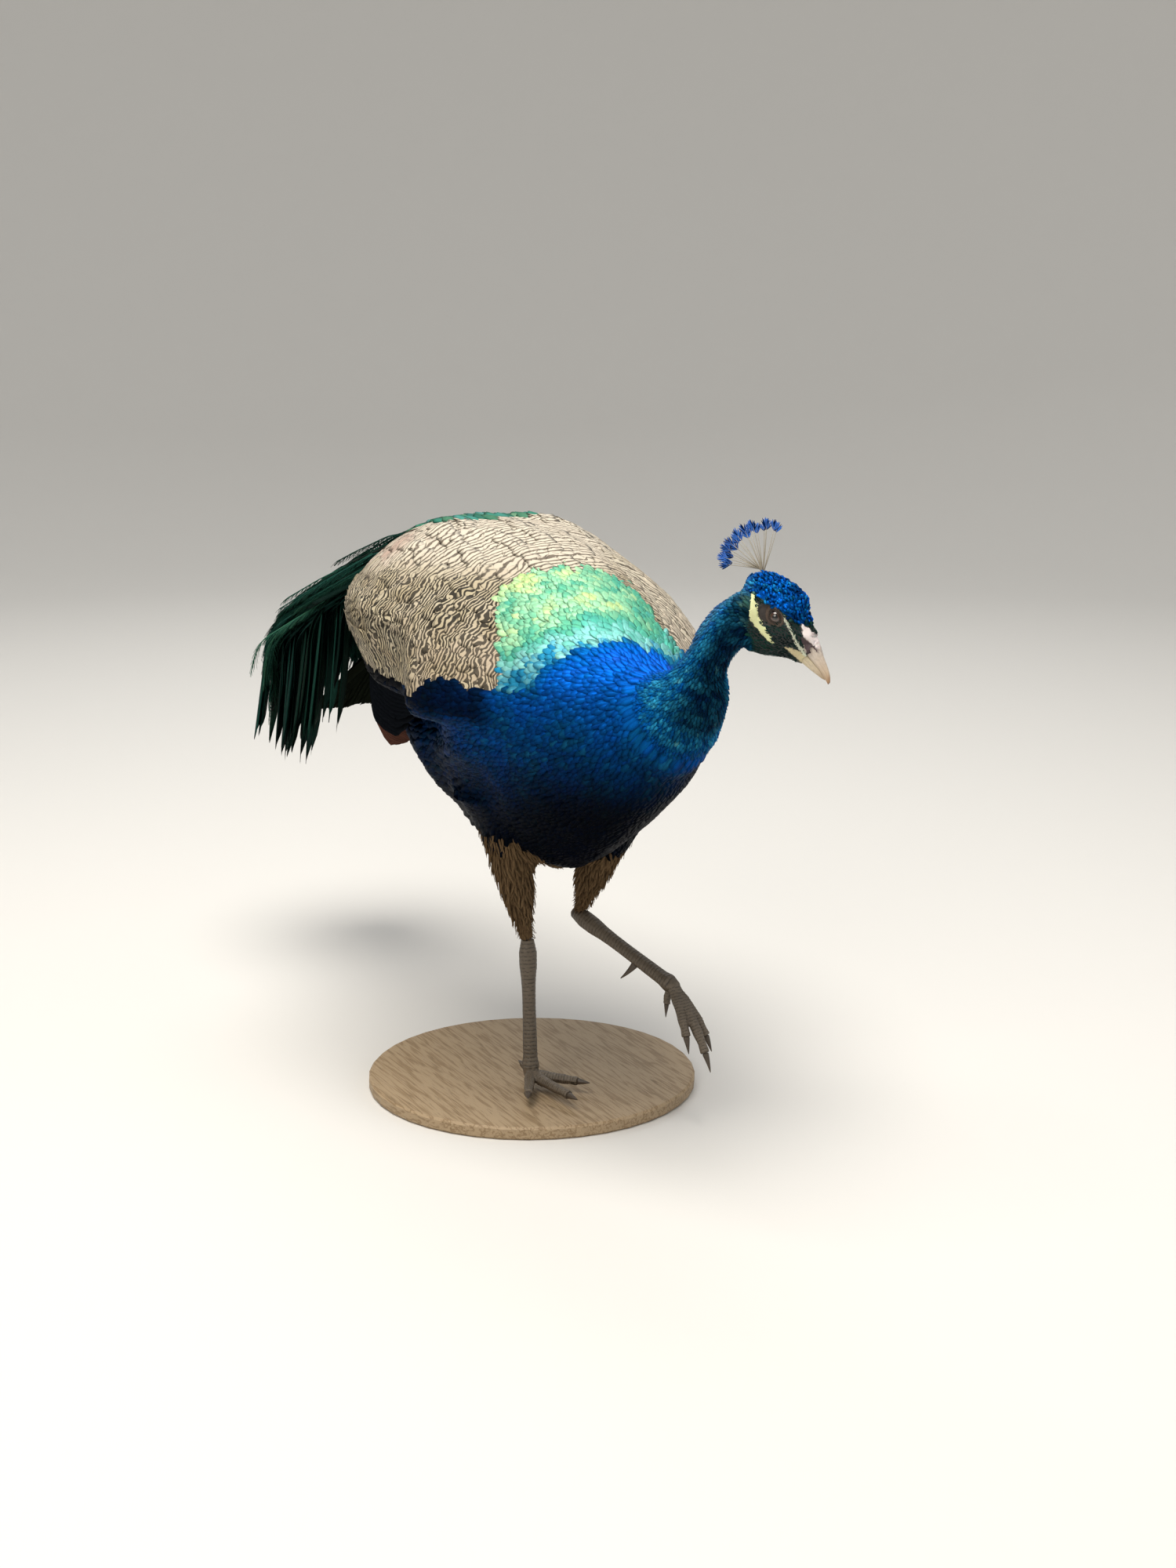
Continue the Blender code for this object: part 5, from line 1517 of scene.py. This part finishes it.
# Eyeballs, with the cornea standing a little proud
ball = {"rings": 40, "round": 48, "cornea": 0.00025, "gaze": (0.16, 1.0, 0.06)}
lids = {
    # An almond opening, and rows of the lid's section: distance out from it and height, in millimetres
    "long": 4.7, "high": 3.7, "tilt": math.radians(8), "round": 96,
    "section": [
        (-0.45, -0.60), (-0.30, 0.10), (0.00, 0.42), (0.45, 0.55), (0.95, 0.36), (1.35, 0.06), (1.80, 0.26),
        (2.40, 0.34), (3.00, 0.20), (3.70, -0.02), (4.50, -0.35), (5.00, -0.80), (3.60, -1.30), (1.60, -1.60),
        (0.20, -1.50),
    ],
}


def eyeballRings(centre, hand):
    gaze = unit(np.array(ball["gaze"]) * np.array([1, hand, 1]))
    across = unit(np.cross(gaze, [0, 0, 1.0]))
    over = np.cross(across, gaze)
    turn = np.linspace(0, 2 * math.pi, ball["round"], endpoint=False)[:, None]
    polar = np.linspace(0.002, math.pi - 0.002, ball["rings"])[:, None, None]
    radius = eyes["radius"] - 0.0001 + ball["cornea"] * np.exp(-((polar / 0.55) ** 4))
    around = np.cos(turn) * across + np.sin(turn) * over
    return fromHead(centre + radius * (np.cos(polar) * gaze + np.sin(polar) * around))


def skinLevel(ahead, up, hand):
    # How far out the skin lies beside the eye, in millimetres
    beside = fromHead(np.stack([ahead, 0 * ahead + hand * 40, up], -1).reshape(-1, 3) / 1000)
    levels = []
    for start in beside.tolist():
        hit = skinTree.ray_cast(Vector(start), Vector((-hand * headSide).tolist()))[0]
        levels.append(16.0 if hit is None else hand * toHead(np.array(hit))[1] * 1000)
    return np.array(levels).reshape(ahead.shape)


def lidRings(centre, hand):
    turn = np.linspace(0, 2 * math.pi, lids["round"], endpoint=False)[:, None]
    out, height = np.array(lids["section"]).T[:, None]
    corner = 1 + 0.16 * np.abs(np.cos(turn)) ** 6  # drawn out a little to the front and back corners
    x = (lids["long"] * corner + out) * np.cos(turn)
    y = (lids["high"] + out * 0.86) * np.sin(turn)
    cosine, sine = math.cos(lids["tilt"]), math.sin(lids["tilt"])
    ahead = centre[0] * 1000 + x * cosine + y * sine
    up = centre[2] * 1000 - x * sine + y * cosine
    gap = np.hypot(ahead - centre[0] * 1000, up - centre[2] * 1000)
    onBall = eyes["side"] * 1000 + np.sqrt(np.maximum((eyes["radius"] * 1000) ** 2 - gap**2, 0))
    onSkin = skinLevel(ahead, up, hand)
    level = np.where(gap < 5.6, np.maximum(onBall, onSkin - 0.3), onSkin)
    for _ in range(3):
        level = (np.roll(level, 1, 0) + 2 * level + np.roll(level, -1, 0)) / 4
    heavy = 1 + 0.45 * np.maximum(np.sin(turn), 0)  # the upper lid is heavier
    folds = 0.07 * np.sin(turn * 22 + out * 1.3) * fades((0.3, 1.2, out), (4.8, 3.0, out))
    side = level + height * np.where(height > 0, heavy, 1.0) + folds
    return fromHead(np.stack([ahead, hand * side, up], -1) / 1000), out


for hand, name in ((1, "left"), (-1, "right")):
    centre = np.array([eyes["ahead"] - eyes["back"], hand * eyes["side"], eyes["up"]])
    mesh = ringMesh(f"eyeball_{name}", eyeballRings(centre, hand))
    putPiece(f"eyeball_{name}", mesh, [f"eye_{name}"], "eye", [finish["eye"]])
    rings, out = lidRings(centre, hand)
    mesh = ringMesh(f"eyelids_{name}", rings, closed=True)
    rim = np.tile(np.clip(out / 5, 0, 1), (lids["round"], 1))
    vectorAttribute(mesh, "rim", np.stack([rim, 0 * rim, 0 * rim], -1))
    putPiece(f"eyelids_{name}", mesh, (), "leg_scale", [finish["lid"]])
print("eyes and lids made")

# Crest: bare pale shafts with a small fan of barbs at each tip
crest = {
    "root": (-0.0380, 0, 0.0192), "count": 21, "lean": (122, 22), "spread": 16, "length": (0.0280, 0.009),
    "shaft": 0.00042, "stations": 9, "bow": 0.0016, "fan": 0.0080, "barbs": 15, "open": 0.74,
    "barb": [0.5, 0.9, 1.0, 0.9, 0.35], "barbWidth": 0.00042, "dull": 0.34,
}
count, stations = crest["count"], crest["stations"]
share = np.arange(count) / (count - 1)
lean = np.radians(np.interp(share, [0, 1], crest["lean"]))
spread = math.radians(crest["spread"]) * np.sin(2.4 * np.arange(count))
length = crest["length"][0] + crest["length"][1] * share**0.8
way = unit(np.stack([-np.sin(lean), np.sin(spread), np.cos(lean) * np.cos(spread)], -1))
steps = np.linspace(-0.10, 1, stations)[:, None]
root = np.array(crest["root"]) + np.stack([0.004 * (share - 0.5), 0.0016 * spread, 0 * share], -1)
bow = np.stack([-np.cos(lean), 0 * lean, -np.sin(lean)], -1) * crest["bow"]
path = root[:, None] + way[:, None] * length[:, None, None] * steps + bow[:, None] * steps**2
sideways = np.array([0.0, 1.0, 0.0])
half = np.linspace(1.0, 0.55, stations) * crest["shaft"] * np.ones((count, 1))
overs = np.broadcast_to(sideways @ headAxes, path.shape)
shafts = buildVanes(fromHead(path), overs, half, (3, 0.1, 0.0006, 0), {"glow": np.full(count, 0.5)})
putPiece("crest_shafts", shafts, (), "buff_plumage", [finish["shaft"]])
dice = np.random.default_rng(61)
t = np.linspace(0, 1, len(crest["barb"]))[:, None]
paths, hues, glows = [], [], []
for i in range(count):
    tip, along = path[i, -1], unit(path[i, -1] - path[i, -2])
    side = unit(np.cross(along, sideways) + 0.35 * dice.normal(size=3))
    for k in range(crest["barbs"]):
        turn = crest["open"] * (2 * k / (crest["barbs"] - 1) - 1) + 0.05 * dice.normal()
        start = tip - along * (0.0012 + 0.0022 * abs(turn) * dice.uniform(0.8, 1.3))
        out = along * math.cos(turn) + side * math.sin(turn)
        reach = crest["fan"] * dice.uniform(0.82, 1.05) * (0.72 + 0.28 * math.cos(turn))
        paths.append(start + out * reach * t + sideways * 0.0005 * dice.normal() * t**2)
        hues.append(0.05 + 0.14 * dice.random())
        glows.append(0.95 if dice.random() > crest["dull"] else 0.12)
paths, hues, glows = (np.array(values) for values in (paths, hues, glows))
# the bright barbs also get the painted pale sheen
tone = {"hue": hues, "glow": glows, "mask": 0.55 * (glows > 0.5)}
half = np.array(crest["barb"]) * crest["barbWidth"] * np.ones((len(paths), 1))
overs = np.broadcast_to(sideways @ headAxes, paths.shape)
fans = buildVanes(fromHead(paths), overs, half, (3, 0.1, 0.00045, 0), tone)
putPiece("crest_fans", fans, ["crest"], "blue_plumage", [finish["crestFan"]])
print("crest made")

# Legs: one skin over shank and foot, with scutes; horn claws and spurs stay as they are, rounded off

legSettings = {
    "voxel": 0.00085, "grown": 0.00045, "evening": 5, "scute": 3.6, "toeScute": 2.7, "depth": 0.00034,
    "columns": 3.2, "small": 1.6,  # small scales: columns to a radian, and rows to a scute
}


def legSkin(name):
    nodes = [f"shank_{name}", f"foot_{name}"]
    bm = largestShell(remeshed(gathered(nodes, legSettings["grown"]), legSettings["voxel"]))
    mesh = bpy.data.meshes.new(f"leg_skin_{name}")
    bm.to_mesh(mesh)
    bm.free()
    points, edges, corners = pointsOf(mesh), edgesOf(mesh), trianglesOf(mesh)
    points = evened(points, edges, legSettings["evening"])
    normals = normalsFrom(points, corners)
    heel, foot = (toWorld(legs[name][end]) for end in ("heel", "foot"))
    along, _, way, gap = onLine(points, np.array([heel, foot]))
    claws = [boxCentre(f"claw_{name}_{toe}") for toe in ("inner", "middle", "outer", "hind")]
    toes = [onLine(points, np.array([foot, (foot + claw) / 2, claw])) for claw in claws]
    toeAlong, toeGap = (np.stack([toe[i] for toe in toes], 1) for i in (0, 3))
    toeAlong = toeAlong[np.arange(len(points)), toeGap.argmin(1)]
    onToe = (toeAlong > 0.007) & (toeGap.min(1) < gap + 0.001)
    run = np.where(onToe, toeAlong / legSettings["toeScute"], along / legSettings["scute"]) * 1000
    # Broad scutes in front and on top of the toes, small scales behind and pads below
    ahead = unit(np.cross(np.cross(way, toWorld([1.0, 0, 0]) - toWorld([0.0, 0, 0])), way))
    lifted = name == "left"  # its toes hang, so their upper sides look forward too
    onTop = normals[:, 2] * (0.75 if lifted else 1) + 0.25 * lifted
    front = np.where(onToe, onTop, (normals * ahead).sum(-1))
    broad = smooth(-0.15, 0.25, front)
    turn = np.arctan2(normals[:, 0], normals[:, 1])
    sway = 0.12 * waver(points, 0.006, 51)
    ring = np.abs(((run + sway + 0.10 * front) % 1) - 0.5) * 2  # 1 at the groove
    around = turn * legSettings["columns"]
    cell = np.abs(np.sin(math.pi * run * legSettings["small"] + 1.57 * (np.floor(around) % 2)))
    cell = cell * np.abs(np.sin(around * math.pi))
    groove = smooth(0.70, 0.98, ring) * broad + smooth(0.42, 0.12, cell) * (1 - broad)
    dome = (1 - ring**2) * broad * 0.4
    points = points + normals * (legSettings["depth"] * (dome - groove))[:, None]
    mesh.vertices.foreach_set("co", points.astype(np.float32).ravel())
    mesh.update()
    dusty = smooth(0.030, 0.012, points[:, 2] - points[:, 2].min()) * 0.5 + onToe * 0.3
    down = np.clip(along / 0.12, 0, 1)
    vectorAttribute(mesh, "feather", np.stack([down, turn / math.pi, 0.5 + 0 * turn], -1))
    vectorAttribute(mesh, "lie", np.stack([along * 1000, turn * 6, 0 * turn], -1))
    vectorAttribute(mesh, "tone", np.stack([broad, np.clip(dusty, 0, 1), groove], -1))
    bakeMap(mesh, unwrap(points))
    putPiece(mesh.name, mesh, nodes, "leg_scale", [finish["scute"]])
    print("leg", name, len(points), "points")


for name in ("right", "left"):
    legSkin(name)

for node, piece in frame["nodes"].items():
    horn = node.startswith(("claw_", "spur_"))
    if horn or node == "stand_base":
        piece.data.materials.clear()
        piece.data.materials.append(finish["claw" if horn else "board"])
    if horn:
        piece.modifiers.new("welded", "WELD").merge_threshold = 1e-5
        rounding = piece.modifiers.new("rounded", "SUBSURF")
        rounding.levels = rounding.render_levels = 2

# Floor, light and camera

studio = {"flat": 3.2, "bend": 2.2, "height": 5.0, "sides": 96, "steps": 14, "sky": "#E8ECF0", "glow": 0.42}
turns = np.linspace(0, math.pi / 2, studio["steps"])[1:]
radii = [studio["flat"] * 0.5, studio["flat"], *(studio["flat"] + studio["bend"] * np.sin(turns))]
heights = [0.0, 0.0, *(studio["bend"] * (1 - np.cos(turns)))]
around = np.arange(studio["sides"]) * 2 * math.pi / studio["sides"]
floorMesh = bpy.data.meshes.new("floor")
sweep = bmesh.new()
rings = [[sweep.verts.new((0, 0, 0))] * studio["sides"]]
for radius, height in zip([*radii, radii[-1]], [*heights, studio["height"]]):
    rings.append([sweep.verts.new((radius * math.cos(t), radius * math.sin(t), height)) for t in around])
for inner, outer in zip(rings, rings[1:]):
    for i, k in zip(range(-1, studio["sides"] - 1), range(studio["sides"])):
        corners = dict.fromkeys((inner[i], outer[i], outer[k], inner[k]))  # at the middle only three differ
        sweep.faces.new(list(corners))
sweep.to_mesh(floorMesh)
sweep.free()
floorMesh.shade_smooth()
pale = Look("plain_pale_floor", {"Roughness": 0.8})
floorMesh.materials.append(pale.finished("#DEDCD8"))
floor = bpy.data.objects.new("floor", floorMesh)
scene.collection.objects.link(floor)

world = bpy.data.worlds.new("studio")
scene.world = world
world.use_nodes = True
world.node_tree.nodes["Background"].inputs["Color"].default_value = linear(studio["sky"])
world.node_tree.nodes["Background"].inputs["Strength"].default_value = studio["glow"]
lamps = {
    "top": {"at": (-0.5, -0.3, 2.9), "size": 2.0, "power": 88, "colour": "#FFFAF2"},
    "key": {"at": (-2.2, -1.8, 1.9), "size": 1.8, "power": 26, "colour": "#FFF8EE"},
    "fill": {"at": (2.2, -2.0, 1.5), "size": 2.0, "power": 12, "colour": "#EEF4FF"},
    "rim": {"at": (0.8, 2.2, 2.4), "size": 1.6, "power": 22, "colour": "#FFFFFF"},
}
lampsAim = Vector((0, 0, 0.35))
for name, lamp in lamps.items():
    light = bpy.data.lights.new(name, "AREA")
    light.shape, light.size, light.energy = "DISK", lamp["size"], lamp["power"]
    light.color = linear(lamp["colour"])[:3]
    holder = bpy.data.objects.new(name, light)
    holder.location = lamp["at"]
    holder.rotation_euler = (lampsAim - Vector(lamp["at"])).to_track_quat("-Z", "Y").to_euler()
    scene.collection.objects.link(holder)

# The camera stands ahead of the bird and to its right, a little above its back
seen = {"from": (-0.9125, -1.9048, 0.769), "down": 13, "round": -27, "lens": 55.44, "sensor": 36}
camera = bpy.data.cameras.new("camera")
camera.lens, camera.sensor_width, camera.clip_start = seen["lens"], seen["sensor"], 0.05
view = bpy.data.objects.new("camera", camera)
view.location = seen["from"]
view.rotation_euler = (math.radians(90 - seen["down"]), 0, math.radians(seen["round"]))
scene.collection.objects.link(view)
scene.camera = view
scene.view_settings.view_transform = "Standard"
